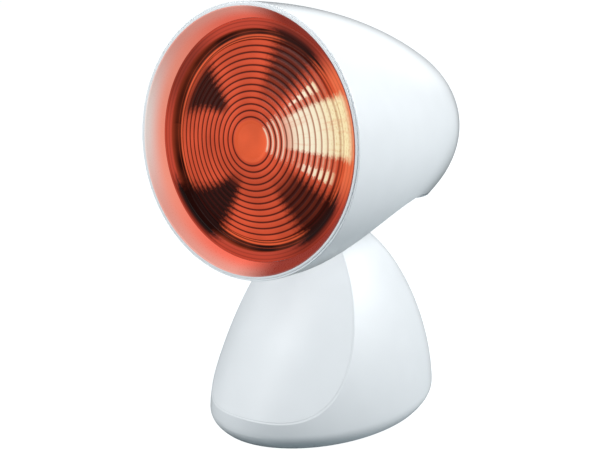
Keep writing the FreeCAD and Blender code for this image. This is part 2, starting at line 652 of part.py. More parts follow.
def base_body():
    """The base's shell: a hollow dome with a recess for the front cover and seats for what it carries."""
    outer = dome("dome_form", "0", "top_height")
    hollow = dome("dome_hollow", "base_wall", "top_height - base_wall", overlap="overreach")
    backing = front_space("backing_form", "cover_wall + cover_gap + backing_wall")
    walls = cut("walls_form", outer, cut("hollow_form", hollow, backing))

    bosses = []
    for x_sign, y_sign in CORNERS:
        x, y = f"{x_sign} * boss_x", f"{y_sign} * boss_y"
        bosses.append(rod(x, y, PLATE_TOP, "boss_radius", "boss_rise"))
        rib = block(f"{x_sign} * half_width", f"{y} - boss_rib / 2", f"{RIM_TOP} + overreach",
                    "2 * (half_width - boss_x)", "boss_rib", "boss_rise / 2")
        bosses.append(rib)
    inside = common("carriers_form", fuse("carriers", switch_seat(), *bosses), outer)

    recess = common("cover_recess", dome("seat_form", "cover_lip", "top_height"),
                    front_space("seat_front", "cover_wall + cover_gap"))
    frame_space = block("0", "-bezel_length / 2 - bezel_gap", "0",
                        "bezel_width + 2 * bezel_gap", "bezel_length + 2 * bezel_gap", "seat_length")
    barrel_space = block("0", "-barrel_length / 2 - barrel_gap", "-seat_length / 2",
                         "barrel_width + 2 * barrel_gap", "barrel_length + 2 * barrel_gap", "seat_length")
    cutters = [
        front_space("front_form", "0"),
        recess,
        on_switch(carrier_body(frame_space)),
        on_switch(carrier_body(barrel_space)),
        rod("0", f"{INLET_SEAT} - 2 * inlet_length", "inlet_height", "inlet_sleeve + inlet_gap",
            "4 * inlet_length", "y"),
        rod("0", INLET_SEAT, "inlet_height", "inlet_flange + cover_gap", "2 * inlet_length", "y"),
        block("0", "pivot_back - stem_half - post_gap", "top_height - 2 * base_wall",
              "2 * (knuckle_half + post_gap)", "2 * (stem_half + post_gap)", "4 * base_wall"),
    ]
    for x_sign, y_sign in CORNERS:
        x, y = f"{x_sign} * boss_x", f"{y_sign} * boss_y"
        cutters.append(rod(x, y, f"{PLATE_TOP} - overreach", "screw_shank", "screw_grip + 2 * overreach"))
        cutters.append(rod(*post_screw_place(x_sign, y_sign), "top_height - 2 * base_wall",
                           "post_screw_shank", "base_wall + post_screw_grip"))
    on_base(cut("base_body", fuse("base_solid", walls, inside), *cutters))


def front_cover():
    """The large convex face of the base, a separate moulding let into the shell."""
    plug = common("cover_plug", dome("cover_form", "cover_lip + cover_gap", "top_height"),
                  front_space("cover_front", "cover_wall"))
    on_base(cut("front_cover", plug, front_space("cover_face", "0")))


def base_plate():
    """The bottom plate with its stiffening rim, seats for the feet and holes for its screws."""

    def plate_outline(sketch):
        draw_ellipse(sketch, PLATE_HALF_X, PLATE_HALF_Y, "0")

    def rim_outline(sketch):
        draw_ellipse(sketch, f"{PLATE_HALF_X} - plate_rim_inset", f"{PLATE_HALF_Y} - plate_rim_inset", "0")
        draw_ellipse(sketch, f"{PLATE_HALF_X} - plate_rim_inset - plate_rim",
                     f"{PLATE_HALF_Y} - plate_rim_inset - plate_rim", "0")

    plate = pad("plate_form", "XY_Plane", plate_outline, "plate_wall", "plate_rise")
    rim = pad("plate_rim_form", "XY_Plane", rim_outline, "plate_rim_rise + plate_wall / 5",
              f"{PLATE_TOP} - plate_wall / 5")
    holes = []
    for x_sign, y_sign in CORNERS:
        holes.append(rod(f"{x_sign} * foot_x", f"{y_sign} * foot_y", "0", "foot_radius",
                         "plate_rise + foot_seat"))
        x, y = f"{x_sign} * boss_x", f"{y_sign} * boss_y"
        holes.append(rod(x, y, "0", "screw_head + screw_play", "plate_rise + screw_head_rise"))
        holes.append(rod(x, y, "0", "screw_shank + screw_play", f"{PLATE_TOP} + overreach"))
    on_base(cut("base_plate", fuse("plate_solid", plate, rim), *holes))


def feet():
    """Four rubber feet, each in its seat."""
    names = ("foot_front_right", "foot_front_left", "foot_rear_right", "foot_rear_left")
    for name, (x_sign, y_sign) in zip(names, CORNERS):
        on_base(pad(name, "XY_Plane", disc(f"{x_sign} * foot_x", f"{y_sign} * foot_y", "foot_radius"),
                    "plate_rise + foot_seat"))


def screw(place, head, head_rise, shank, length):
    """A screw on the z axis with its head at place, pointing up."""
    x, y, z = place
    return fuse("screw", rod(x, y, z, head, head_rise),
                rod(x, y, f"({z}) + ({head_rise}) / 2", shank, length))


def base_screws():
    screws = []
    for x_sign, y_sign in CORNERS:
        place = (f"{x_sign} * boss_x", f"{y_sign} * boss_y", "plate_rise")
        screws.append(screw(place, "screw_head", "screw_head_rise", "screw_shank",
                            "plate_wall - screw_head_rise / 2 + screw_grip"))
    on_base(group("base_screws", *screws))


def terminal_block():
    """The mains terminal on the base plate, with its three clamping screws in their wells."""
    body = block("0", "block_y - block_depth / 2", PLATE_TOP, "block_width", "block_depth", "block_rise")
    top = f"{PLATE_TOP} + block_rise"
    wells = []
    screws = []
    for step in (-1, 0, 1):
        x = f"{step} * block_pitch"
        floor = f"{top} - block_well_depth"
        wells.append(rod(x, "block_y", floor, "block_well", "block_well_depth + overreach"))
        screws.append(rod(x, "block_y", floor, "block_screw", "block_screw_length"))
    on_base(cut("terminal_block", body, *wells))
    on_base(group("terminal_screws", *screws))


def cable_bushing():
    """The bushing in the back of the base through which the cord enters."""
    flange = rod("0", INLET_SEAT, "inlet_height", "inlet_flange", "inlet_flange_wall", "y")
    sleeve = rod("0", f"{INLET_SEAT} - inlet_length", "inlet_height", "inlet_sleeve",
                 "inlet_length + inlet_flange_wall / 2", "y")
    bore = rod("0", f"{INLET_SEAT} - 2 * inlet_length", "inlet_height", "inlet_bore", "4 * inlet_length", "y")
    on_base(cut("cable_bushing", fuse("bushing_solid", flange, sleeve), bore))


def post_screw_place(x_sign, y_sign):
    along = "post_screw_rear" if y_sign > 0 else "-post_screw_front"
    return f"{x_sign} * post_screw_x", f"pivot_back + {along}"


def pivot_post():
    """The post that stands out of the base's flat top and carries the knuckle of the tilt joint."""
    front, rear = "pivot_back - stem_half", "pivot_back + stem_half"
    foot = "top_height - base_wall - flange_wall"
    stem = pad(
        "stem_form",
        "YZ_Plane",
        outline(
            (rear, foot),
            (rear, "top_height"),
            ("pivot_back + knuckle_radius", "pivot_height"),
            ("pivot_back", "pivot_height + knuckle_radius", "left", "knuckle_radius"),
            ("pivot_back - knuckle_radius", "pivot_height", "left", "knuckle_radius"),
            (front, "top_height"),
            (front, foot),
        ),
        "2 * knuckle_half",
        middle=True,
    )
    flange = block("0", "pivot_back - flange_front", foot,
                   "2 * flange_half_width", "flange_front + flange_rear", "flange_wall")
    bore = rod("-2 * knuckle_half", "pivot_back", "pivot_height", "axle_radius + axle_fit",
               "4 * knuckle_half", "x")
    holes = [bore]
    for x_sign, y_sign in CORNERS:
        holes.append(rod(*post_screw_place(x_sign, y_sign), f"{foot} - flange_wall",
                         "post_screw_shank + screw_play / 2", "3 * flange_wall"))
    on_base(cut("pivot_post", fuse("post_solid", stem, flange), *holes))


def post_screws():
    screws = []
    for x_sign, y_sign in CORNERS:
        x, y = post_screw_place(x_sign, y_sign)
        bottom = "top_height - base_wall - flange_wall - post_screw_head"
        screws.append(screw((x, y, bottom), "post_screw_head", "post_screw_head", "post_screw_shank",
                            "post_screw_head / 2 + flange_wall + post_screw_grip"))
    on_base(group("post_screws", *screws))


# ---------------------------------------------------------------- rocker switch


ROCKER_SPACE_X = "(rocker_width + 2 * rocker_gap)"
ROCKER_SPACE_Y = "(rocker_length + 5 * rocker_gap)"


def switch_housing():
    """The switch's frame and barrel, hollow for the rocker and bored for its pin."""
    frame = block("0", "-bezel_length / 2", "0", "bezel_width", "bezel_length", "bezel_wall")
    barrel = block("0", "-barrel_length / 2", "-barrel_depth", "barrel_width", "barrel_length",
                   "barrel_depth + bezel_wall / 2")
    cavity = block("0", f"-{ROCKER_SPACE_Y} / 2", "-rocker_sink - rocker_back - overreach", ROCKER_SPACE_X,
                   ROCKER_SPACE_Y, "rocker_back + seat_length")
    bore = rod("-rocker_width", "0", "-rocker_sink", "rocker_pin + pin_fit", "2 * rocker_width", "x")
    housing = cut("switch_housing", fuse("switch_solid", frame, barrel), cavity, bore)
    keep(on_switch(housing, "middle_shift"))


def switch_rocker():
    """The rocker, in its off position, with the pin that it turns on."""
    end, neck = "rocker_length / 2", "rocker_length / 2 - rocker_taper"
    rocker = pad(
        "rocker_form",
        "YZ_Plane",
        outline(
            (end, "rocker_edge"),
            ("0", "rocker_waist"),
            (f"-{end}", "rocker_edge"),
            (f"-({neck})", "-rocker_back / 3"),
            ("-rocker_back / 3", "-rocker_back"),
            ("rocker_back / 3", "-rocker_back"),
            (neck, "-rocker_back / 3"),
        ),
        "rocker_width",
        middle=True,
    )
    pin = rod("-barrel_width / 2 + rocker_gap", "0", "0", "rocker_pin", "barrel_width - 2 * rocker_gap", "x")
    keep(on_switch(fuse("switch_rocker", rocker, pin), "middle_shift", "rocker_sink", "rocker_swing"))


def switch_terminals():
    blades = []
    for step in (-0.5, 0.5):
        y = f"{step} * blade_pitch - blade_wall / 2"
        blades.append(block("0", y, "-barrel_depth - blade_length", "blade_width", "blade_wall",
                            "blade_length"))
    keep(on_switch(group("switch_terminals", *blades), "middle_shift"))


# ---------------------------------------------------------------- head housing


SHIELD_MOUTH = "(glass_radius + shield_side)"


def housing_solid(label, inset, front="0"):
    """The housing's outer form drawn in by inset: three arcs that run together and close on the axis."""
    flank, shoulder, nose = (f"({arc} - ({inset}))" for arc in ("flank_arc", "shoulder_arc", "nose_arc"))
    return spin(
        label,
        (
            ("0", front),
            (f"flank_x + {flank} * cos(lead_angle) - rim_round", front),
            (f"flank_x + {flank} * cos(lead_angle)", "-rim_round"),
            (f"flank_x + {flank} * cos(flank_end)", f"flank_z - {flank} * sin(flank_end)",
             "right", flank),
            (f"shoulder_x + {shoulder} * cos(shoulder_end)",
             f"shoulder_z - {shoulder} * sin(shoulder_end)", "right", shoulder),
            ("0", f"nose_z - {nose}", "right", nose),
        ),
    )


def inside_of_housing(depth):
    """Radius of the housing's inner wall at a depth on its flank."""
    return f"(flank_x + sqrt(pow(flank_arc - head_wall; 2) - pow(flank_z + {depth}; 2)))"


def arch_rod(radius):
    """A cylinder across the head about the centre of the arched opening."""
    return rod("-rim_radius * 1.5", "-arch_drop", "-arch_depth", radius, "rim_radius * 3", "x")


def head_housing():
    """The housing: an egg-shaped shell, arched out below for the base and slotted at the back for air."""
    envelope = housing_solid("housing_form", "0")
    cavity = housing_solid("housing_hollow", "head_wall", front="overreach")
    shell = cut("housing_shell", envelope, cavity)
    inner = f"{SHIELD_MOUTH} + shield_wall + ledge_play"
    ledge = spin("ledge_form", (
        ("rim_radius", "-ledge_depth"),
        (inner, "-ledge_depth"),
        (inner, "-ledge_depth - ledge_wall"),
        ("rim_radius", "-ledge_depth - ledge_wall"),
    ))
    bosses = []
    pilots = []
    for sign in (-1, 1):
        x = f"{sign} * yoke_screw_x"
        bosses.append(rod(x, "-rim_radius", "-yoke_screw_depth", "yoke_boss",
                          "rim_radius - web_drop - yoke_wall", "y"))
        pilots.append(rod(x, "-web_drop - yoke_wall - yoke_screw_grip", "-yoke_screw_depth", "small_shank",
                          "yoke_screw_grip + overreach", "y"))
    inside = common("housing_carriers", fuse("housing_fittings", ledge, *bosses), envelope)
    solid = fuse("housing_solid", shell, inside)
    rebate = rod("0", "0", "-rim_rebate", "rim_radius - rim_edge", "2 * rim_rebate")
    on_head(cut("head_housing", solid, rebate, arch_rod("arch_radius"), *pilots, *air_slots()))


def air_slots():
    """Upright slots with round ends that together fill a circle round the nose."""
    slots = []
    rows = int(value_of("vent_rows"))
    for row in range(-rows, rows + 1):
        x = f"{row} * vent_pitch"
        half = f"(sqrt(vent_radius * vent_radius - pow({x}; 2)) - vent_width / 2)"
        slots.append(block(x, f"-{half}", "-vent_depth - rim_radius", "vent_width", f"2 * {half}",
                           "rim_radius"))
        for end in ("", "-"):
            slots.append(rod(x, end + half, "-vent_depth - rim_radius", "vent_width / 2", "rim_radius"))
    return slots


def front_ring():
    """The ring in the housing's mouth: a proud lip outside and a cone that leads in to the glass."""
    lip_outer = "(rim_radius - rim_edge - rim_groove)"
    lip_inner = f"({lip_outer} - lip_wall)"
    collar_outer = "(rim_radius - head_wall - collar_play)"
    collar_inner = f"({collar_outer} - collar_wall)"
    foot = "(glass_radius + glass_play)"
    slope = f"(({lip_inner} - {foot}) / (cone_depth + lip_proud))"
    back_of_cone = f"(lip_proud - ({lip_inner} + cone_wall - {collar_inner}) / {slope})"
    on_head(spin("front_ring", (
        (lip_inner, "lip_proud"),
        (lip_outer, "lip_proud"),
        (lip_outer, "-rim_rebate"),
        (collar_outer, "-rim_rebate"),
        (collar_outer, "-collar_depth"),
        (collar_inner, "-collar_depth"),
        (collar_inner, back_of_cone),
        (f"{foot} + cone_wall", "-collar_depth"),
        (foot, "-collar_depth"),
        (foot, "-cone_depth"),
    )))


# ---------------------------------------------------------------- reflector lamp


def lens_depth_at(radius):
    """Depth of the lens's dome at a radius, measured in the valleys between its ridges."""
    return f"(lens_depth + lens_arc - sqrt(lens_arc * lens_arc - pow({radius}; 2)))"


RIDGE_OUTER = f"(ridge_inner + {LENS_RIDGES} * ridge_pitch)"


def bulb_lens():
    """The red glass: concentric ridges on a shallow dome, a groove round them and a plain edge."""
    path = [("0", "-lens_depth"), ("ridge_inner", f"-{lens_depth_at('ridge_inner')}", "right", "lens_arc")]
    for ridge in range(LENS_RIDGES):
        crest = f"(ridge_inner + ridge_pitch * ({ridge} + 1 / 2))"
        valley = f"(ridge_inner + ridge_pitch * {ridge + 1})"
        path += [(crest, f"ridge_rise - {lens_depth_at(crest)}"), (valley, f"-{lens_depth_at(valley)}")]
    path += [
        (f"{RIDGE_OUTER} + groove_slope", "-groove_depth"),
        ("groove_outer - groove_slope", "-groove_depth"),
        ("groove_outer", "-glass_front"),
        ("glass_radius - edge_bevel", "-glass_front"),
        ("glass_radius", "-glass_front - edge_bevel"),
        ("glass_radius", "-glass_seam"),
        ("glass_radius - bulb_glass - lens_lap", "-glass_seam"),
        ("groove_outer", "-groove_depth - groove_glass"),
        (RIDGE_OUTER, f"-{lens_depth_at(RIDGE_OUTER)} - lens_glass"),
        ("0", "-lens_depth - lens_glass", "left", "lens_arc"),
    ]
    on_head(spin("bulb_lens", path))


def bulb_reflector():
    """The silvered glass body of the lamp, hollow, from the seam with the lens to the neck."""
    inner = "(neck_radius - bulb_glass)"
    neck_start = "-neck_depth + neck_length"
    on_head(spin("bulb_reflector", (
        ("glass_radius - bulb_glass", "-glass_seam"),
        ("glass_radius", "-glass_seam"),
        ("bulb_throat", "-throat_depth", "right", "bulb_arc"),
        ("neck_radius + neck_flare", neck_start),
        ("neck_radius", "-neck_depth"),
        (inner, "-neck_depth"),
        (f"{inner} + neck_flare", neck_start),
        ("bulb_throat - bulb_glass", "-throat_depth"),
        ("glass_radius - bulb_glass", "-glass_seam - bulb_glass", "left", "bulb_arc - bulb_glass"),
    )))


def bulb_filament():
    """The coiled filament, bent to a half ring, and the two posts that hold it."""
    loop = doc.addObject("Part::Torus", "filament_loop")
    loop.Angle3 = 180
    bind(loop, Radius1="filament_reach", Radius2="filament_radius", Placement__Base__z="-filament_depth")
    on_head(group("bulb_filament", loop))
    posts = []
    for sign in (-1, 1):
        length = "neck_depth - filament_depth - filament_radius"
        posts.append(rod(f"{sign} * filament_reach", "0", "-neck_depth", "stay_radius", length))
    on_head(group("filament_posts", *posts))


def bulb_cap():
    """The lamp's screw cap, its black insulator and its centre contact."""
    on_head(spin("bulb_cap", (
        ("0", "-neck_depth"),
        ("neck_radius + cap_collar", "-neck_depth"),
        ("neck_radius + cap_collar", "-cap_collar_depth"),
        ("cap_radius", "-cap_collar_depth - cap_shoulder"),
        ("cap_radius", "-cap_end_depth + cap_taper"),
        ("cap_end", "-cap_end_depth"),
        ("0", "-cap_end_depth"),
    )))
    on_head(spin("bulb_insulator", (
        ("0", "-cap_end_depth"),
        ("cap_end - insulator_step", "-cap_end_depth"),
        ("insulator_end", "-insulator_depth"),
        ("0", "-insulator_depth"),
    )))
    on_head(spin("bulb_contact", (
        ("0", "-insulator_depth"),
        ("contact_radius", "-insulator_depth"),
        ("contact_radius * 0.8", "-insulator_depth - contact_rise * 0.8"),
        ("0", "-insulator_depth - contact_rise"),
    )))


# ---------------------------------------------------------------- lampholder


SLEEVE_INNER = "(cap_radius + cap_play)"
HOLDER_BORE = f"({SLEEVE_INNER} + sleeve_wall + sleeve_play)"


def lampholder():
    """The porcelain lampholder with its bore and the two screw holes in its end."""
    body = spin("holder_form", (
        (HOLDER_BORE, "-holder_front"),
        (f"{HOLDER_BORE} + holder_wall", "-holder_front"),
        (f"{HOLDER_BORE} + holder_wall", "-holder_shoulder"),
        ("holder_end", "-tab_depth"),
        ("0", "-tab_depth"),
        ("0", "-holder_floor"),
        (HOLDER_BORE, "-holder_floor"),
    ))
    holes = []
    for sign in (-1, 1):
        holes.append(rod(f"{sign} * holder_screw_x", "0", "-tab_depth - overreach", "small_shank",
                         "holder_screw_grip + overreach"))
    on_head(cut("lampholder", body, *holes))


def holder_contacts():
    """The lampholder's screw shell, turned in at its inner end, and its centre contact."""
    outer = f"({SLEEVE_INNER} + sleeve_wall)"
    front, rear = "-holder_front - sleeve_sink", "-holder_floor + sleeve_rise"
    on_head(spin("holder_sleeve", (
        (SLEEVE_INNER, front),
        (outer, front),
        (outer, rear),
        (f"{outer} - sleeve_lip", rear),
        (f"{outer} - sleeve_lip", f"{rear} + sleeve_wall"),
        (SLEEVE_INNER, f"{rear} + sleeve_wall"),
    )))
    on_head(spin("holder_contact", (
        ("0", "-contact_face"),
        ("spring_radius", "-contact_face"),
        ("spring_radius", "-contact_face - spring_wall"),
        ("spring_stem", "-contact_face - spring_wall"),
        ("spring_stem", "-holder_floor"),
        ("0", "-holder_floor"),
    )))


def holder_screws():
    screws = []
    for sign in (-1, 1):
        rear = "-tab_depth - yoke_wall - small_head_rise"
        place = (f"{sign} * holder_screw_x", "0", rear)
        screws.append(screw(place, "small_head", "small_head_rise", "small_shank",
                            "small_head_rise / 2 + yoke_wall + holder_screw_grip"))
    on_head(group("holder_screws", *screws))


# ---------------------------------------------------------------- heat shield and underside cover


EAR = ("-axis_rise", "-pivot_depth")
CHEEK_INNER = "(knuckle_half + friction_gap + friction_wall)"
CHEEK_OUTER = f"({CHEEK_INNER} + yoke_wall)"
STACK_OUTER = f"({CHEEK_OUTER} + outer_washer_wall)"


def shield_path(grow):
    """The heat shield's inner line from its flange back to its end, moved outwards by grow."""
    throat = f"bulb_throat + shield_gap + ({grow})"
    return [
        (f"{SHIELD_MOUTH} + ({grow})", "-ledge_depth"),
        (throat, "-throat_depth", "right", f"bulb_arc + shield_gap + ({grow})"),
        (f"shield_end + ({grow})", "-shield_end_depth"),
    ]


def heat_shield():
    """The sheet bowl round the lamp, which rests on the housing's ledge with its flange."""
    mouth, throat, end = shield_path("0")
    flange = f"{inside_of_housing('ledge_depth')} - flange_play"
    on_head(spin("heat_shield", [
        (flange, "-ledge_depth + shield_wall"),
        (flange, "-ledge_depth"),
        *shield_path("shield_wall"),
        end,
        throat[:2],
        (mouth[0], "-ledge_depth + shield_wall", "left", throat[3]),
    ]))


def underside_cover():
    """The curved pan that closes the arched opening from inside, round the heat shield and the yoke."""
    pan = cut("pan_form", arch_rod("arch_radius + pan_rise + pan_wall"), arch_rod("arch_radius + pan_rise"))
    inside = housing_solid("pan_limit", "head_wall + pan_gap")
    shield_space = spin("pan_shield_space", [
        ("0", "0"),
        ("rim_radius", "0"),
        ("rim_radius", "-ledge_depth"),
        *shield_path("shield_wall + pan_shield_gap"),
        ("0", "-shield_end_depth"),
    ])
    front = block("0", "-2 * rim_radius", "-pan_front", "4 * rim_radius", "4 * rim_radius", "2 * rim_radius")
    slot = block("0", "-rim_radius", "-pan_slot_end", f"2 * ({CHEEK_OUTER} + pan_slot_play)", "rim_radius",
                 "pan_slot_end")
    on_head(cut("underside_cover", common("pan_inside", pan, inside), shield_space, front, slot))


# ---------------------------------------------------------------- tilt joint


def ear_point(angle):
    """A point on the ear's round, by its angle in the plane of the cheek."""
    return f"{EAR[0]} + knuckle_radius * cos({angle})", f"{EAR[1]} + knuckle_radius * sin({angle})"


def tilt_yoke():
    """The sheet-steel yoke: two cheeks with ears on the tilt bolt, a web and the lampholder's tab."""
    lower, front, upper = (ear_point(angle) for angle in (-150, 120, 33))
    cheeks = pad(
        "yoke_form",
        "YZ_Plane",
        outline(
            ("-web_drop", "-tab_depth"),
            ("tab_rise", "-tab_depth"),
            ("tab_rise", "-tab_depth - yoke_wall"),
            ("-web_drop - yoke_wall", "-tab_depth - yoke_wall"),
            ("-web_drop - yoke_wall", "-cheek_rear"),
            ("-web_drop - yoke_wall - cheek_rise", "-cheek_rear"),
            lower,
            (*front, "right", "knuckle_radius"),
            (*upper, "right", "knuckle_radius"),
            ("-web_drop - web_shoulder", "-web_front + web_shoulder"),
            ("-web_drop", "-web_front"),
        ),
        f"2 * {CHEEK_OUTER}",
        middle=True,
    )
    between = block("0", "-rim_radius", "-tab_depth - 2 * yoke_wall", f"2 * {CHEEK_INNER}",
                    "rim_radius - web_drop - yoke_wall", "tab_depth")
    holes = [rod("-rim_radius", *EAR, "axle_radius", "2 * rim_radius", "x")]
    for sign in (-1, 1):
        holes.append(rod(f"{sign} * yoke_screw_x", "-web_drop - 2 * yoke_wall", "-yoke_screw_depth",
                         "small_shank + screw_play", "3 * yoke_wall", "y"))
        holes.append(rod(f"{sign} * holder_screw_x", "0", "-tab_depth - 2 * yoke_wall",
                         "small_shank + screw_play", "3 * yoke_wall"))
    on_head(cut("tilt_yoke", cheeks, between, *holes))


def yoke_screws():
    screws = []
    for sign in (-1, 1):
        x, z = f"{sign} * yoke_screw_x", "-yoke_screw_depth"
        head = rod(x, "-web_drop", z, "small_head", "small_head_rise", "y")
        length = "small_head_rise / 2 + yoke_wall + yoke_screw_grip"
        shank = rod(x, "-web_drop - yoke_wall - yoke_screw_grip", z, "small_shank", length, "y")
        screws.append(fuse("yoke_screw", head, shank))
    on_head(group("yoke_screws", *screws))


def hexagon(radius):
    """A regular six-sided outline round the tilt axis, in the plane of the cheek."""
    steps = []
    for corner in range(6):
        angle = f"{60 * corner} + 30"
        steps.append((f"{EAR[0]} + {radius} * cos({angle})", f"{EAR[1]} + {radius} * sin({angle})"))
    return outline(*steps)


def tilt_bolt():
    """The bolt through yoke and post, its nut and its washers."""
    head = pad("bolt_head", "YZ_Plane", hexagon("hex_radius"), "hex_rise", f"-{STACK_OUTER} - hex_rise")
    shank = rod(f"-{STACK_OUTER} - hex_rise / 2", *EAR, "axle_radius",
                f"2 * {STACK_OUTER} + 1.5 * hex_rise + axle_tail", "x")
    on_head(fuse("tilt_bolt", head, shank))
    nut = pad("nut_form", "YZ_Plane", hexagon("hex_radius"), "hex_rise", STACK_OUTER)
    on_head(cut("bolt_nut", nut, rod("0", *EAR, "axle_radius", "rim_radius", "x")))
    outer = []
    for start in (CHEEK_OUTER, f"-{STACK_OUTER}"):
        outer.append(pad("outer_washer_form", "YZ_Plane", ring(*EAR, "outer_washer_radius", "axle_radius"),
                         "outer_washer_wall", start))
    on_head(group("outer_washers", *outer))
    inner = []
    for start in ("(knuckle_half + friction_gap)", f"-{CHEEK_INNER}"):
        inner.append(pad("friction_washer_form", "YZ_Plane", ring(*EAR, "friction_radius", "axle_radius"),
                         "friction_wall", start))
    on_head(group("friction_washers", *inner))


# ---------------------------------------------------------------- the lamp


def check_and_write():
    """Stops if anything failed; then writes each sub-part to its own file."""
    doc.recompute()
    failed = [item.Label for item in doc.Objects if {"Invalid", "Error"} & set(item.State)]
    if failed:
        raise RuntimeError("failed: " + ", ".join(failed))
    os.makedirs("parts", exist_ok=True)
    for item in sub_parts:
        shape = item.Shape
        if shape.isNull() or not shape.isValid() or not shape.Solids:
            raise RuntimeError(item.Label + " has no sound solid")
        print(f"{item.Label}: {len(shape.Solids)} solids, {shape.Volume:.1f} mm3")
        shape.exportStep(f"parts/{item.Label}.step")


fill_sheet()
base_body()
front_cover()
base_plate()
feet()
base_screws()
terminal_block()
cable_bushing()
pivot_post()
post_screws()
switch_housing()
switch_rocker()
switch_terminals()
head_housing()
front_ring()
bulb_lens()
bulb_reflector()
bulb_filament()
bulb_cap()
lampholder()
holder_contacts()
holder_screws()
heat_shield()
underside_cover()
tilt_yoke()
yoke_screws()
tilt_bolt()
check_and_write()
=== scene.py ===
"""Infrared heat therapy lamp: its visible pieces, finishes and a plain studio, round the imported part."""

import json
import math

import bmesh
import bpy
from bpy.props import FloatProperty, FloatVectorProperty, IntProperty, PointerProperty
from mathutils import Matrix, Vector


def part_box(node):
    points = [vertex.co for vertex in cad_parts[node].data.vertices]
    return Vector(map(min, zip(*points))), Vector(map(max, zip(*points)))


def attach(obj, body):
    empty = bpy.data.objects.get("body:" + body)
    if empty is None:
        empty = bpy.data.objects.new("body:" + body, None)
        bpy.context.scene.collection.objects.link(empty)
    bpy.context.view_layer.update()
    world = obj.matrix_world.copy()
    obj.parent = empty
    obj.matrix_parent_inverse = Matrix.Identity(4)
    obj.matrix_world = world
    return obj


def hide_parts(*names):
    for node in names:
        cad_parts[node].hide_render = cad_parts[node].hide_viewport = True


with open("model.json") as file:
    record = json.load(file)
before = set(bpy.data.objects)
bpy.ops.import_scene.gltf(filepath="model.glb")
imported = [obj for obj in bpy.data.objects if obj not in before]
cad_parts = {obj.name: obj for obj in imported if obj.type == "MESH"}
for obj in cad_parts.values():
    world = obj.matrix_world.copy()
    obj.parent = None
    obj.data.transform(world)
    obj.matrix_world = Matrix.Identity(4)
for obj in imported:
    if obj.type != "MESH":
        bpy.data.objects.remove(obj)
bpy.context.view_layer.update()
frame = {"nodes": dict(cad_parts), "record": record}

bl_info = {
    "name": "Infrared heat lamp",
    "version": (1, 0, 0),
    "blender": (4, 5, 0),
    "location": "3D View > Sidebar > Heat lamp",
    "description": "Builds the visible pieces, finishes and studio of an infrared heat therapy lamp",
    "category": "Object",
}

JOINTS = {joint["name"]: joint for joint in frame["record"]["behaviour"]["joints"]}
PIVOT = Vector(JOINTS["head_tilt"]["pos_m"])
MERGE = 1e-6
BLACK = (0.0, 0.0, 0.0)


# ---------------------------------------------------------------- sizes and colours


def length(name, default, description):
    return FloatProperty(name=name, default=default, description=description, unit="LENGTH", precision=5)


def angle(name, default, description):
    return FloatProperty(name=name, default=math.radians(default), description=description, subtype="ANGLE")


def colour(name, default, description):
    return FloatVectorProperty(name=name, default=default, description=description, subtype="COLOR",
                               size=3, min=0.0, max=1.0)


def factor(name, default, description):
    return FloatProperty(name=name, default=default, description=description, min=0.0)


class LampHeadSizes(bpy.types.PropertyGroup):
    tilt: angle("Rest tilt", 7.33, "Angle by which the face looks up at rest")
    axis_rise: length("Axis rise", 0.0458, "Height of the lamp's axis over the tilt axis")
    pivot_depth: length("Pivot depth", 0.07594, "Depth of the tilt axis behind the rim")
    rim_radius: length("Rim radius", 0.0696, "Outer radius of the housing at its front edge")
    rim_round: length("Rim rounding", 0.0003, "Rounding of the housing's front edge")
    rim_edge: length("Rim edge", 0.0006, "Wall of the front edge outside its rebate")
    rebate: length("Rebate", 0.0003, "Depth of the rebate that the ring's lip sits in")
    lead: angle("Lead angle", 1.44, "Angle of the flank at the front edge")
    flank_arc: length("Flank arc", 0.347, "Radius of the flank")
    flank_turn: angle("Flank turn", 20.65, "Angle that the flank turns through")
    shoulder_arc: length("Shoulder arc", 0.1043, "Radius of the shoulder")
    shoulder_turn: angle("Shoulder turn", 21.44, "Angle that the shoulder turns through")
    wall: length("Wall", 0.0024, "Wall of the housing")
    ledge_depth: length("Ledge depth", 0.0154, "Depth of the ledge that carries the heat shield")
    ledge_wall: length("Ledge wall", 0.002, "Thickness of the ledge")
    ledge_inner: length("Ledge inner", 0.0645, "Inner radius of the ledge")
    arch_radius: length("Arch radius", 0.0854, "Radius of the arched opening below")
    arch_drop: length("Arch drop", 0.11185, "Place of the arch's centre below the lamp's axis")
    arch_depth: length("Arch depth", 0.08376, "Depth of the arch's centre")
    vent_radius: length("Vent field", 0.02, "Radius of the round field of air slots")
    vent_width: length("Vent width", 0.0026, "Width of an air slot")
    vent_pitch: length("Vent pitch", 0.0054, "Spacing of the air slots")
    vent_rows: IntProperty(name="Vent rows", default=3, description="Slots to either side of the middle one")
    vent_cut: length("Vent cut", 0.06, "Length of the cut that makes the air slots")
    vent_depth: length("Vent depth", 0.18, "Depth of that cut's middle")


class LampRingSizes(bpy.types.PropertyGroup):
    lip_proud: length("Lip proud", 0.0006, "How far the ring's lip stands before the housing")
    lip_wall: length("Lip wall", 0.0019, "Width of the lip")
    lip_round: length("Lip rounding", 0.0004, "Rounding of the lip")
    groove: length("Groove", 0.0003, "Open groove between housing and lip")
    cone_foot: length("Cone foot", 0.0612, "Radius of the cone where it meets the glass")
    cone_depth: length("Cone depth", 0.008, "Depth of the cone")
    cone_wall: length("Cone wall", 0.0012, "Wall of the cone")
    collar_radius: length("Collar radius", 0.0666, "Outer radius of the collar")
    collar_wall: length("Collar wall", 0.0015, "Wall of the collar")
    collar_depth: length("Collar depth", 0.0094, "Depth of the collar")


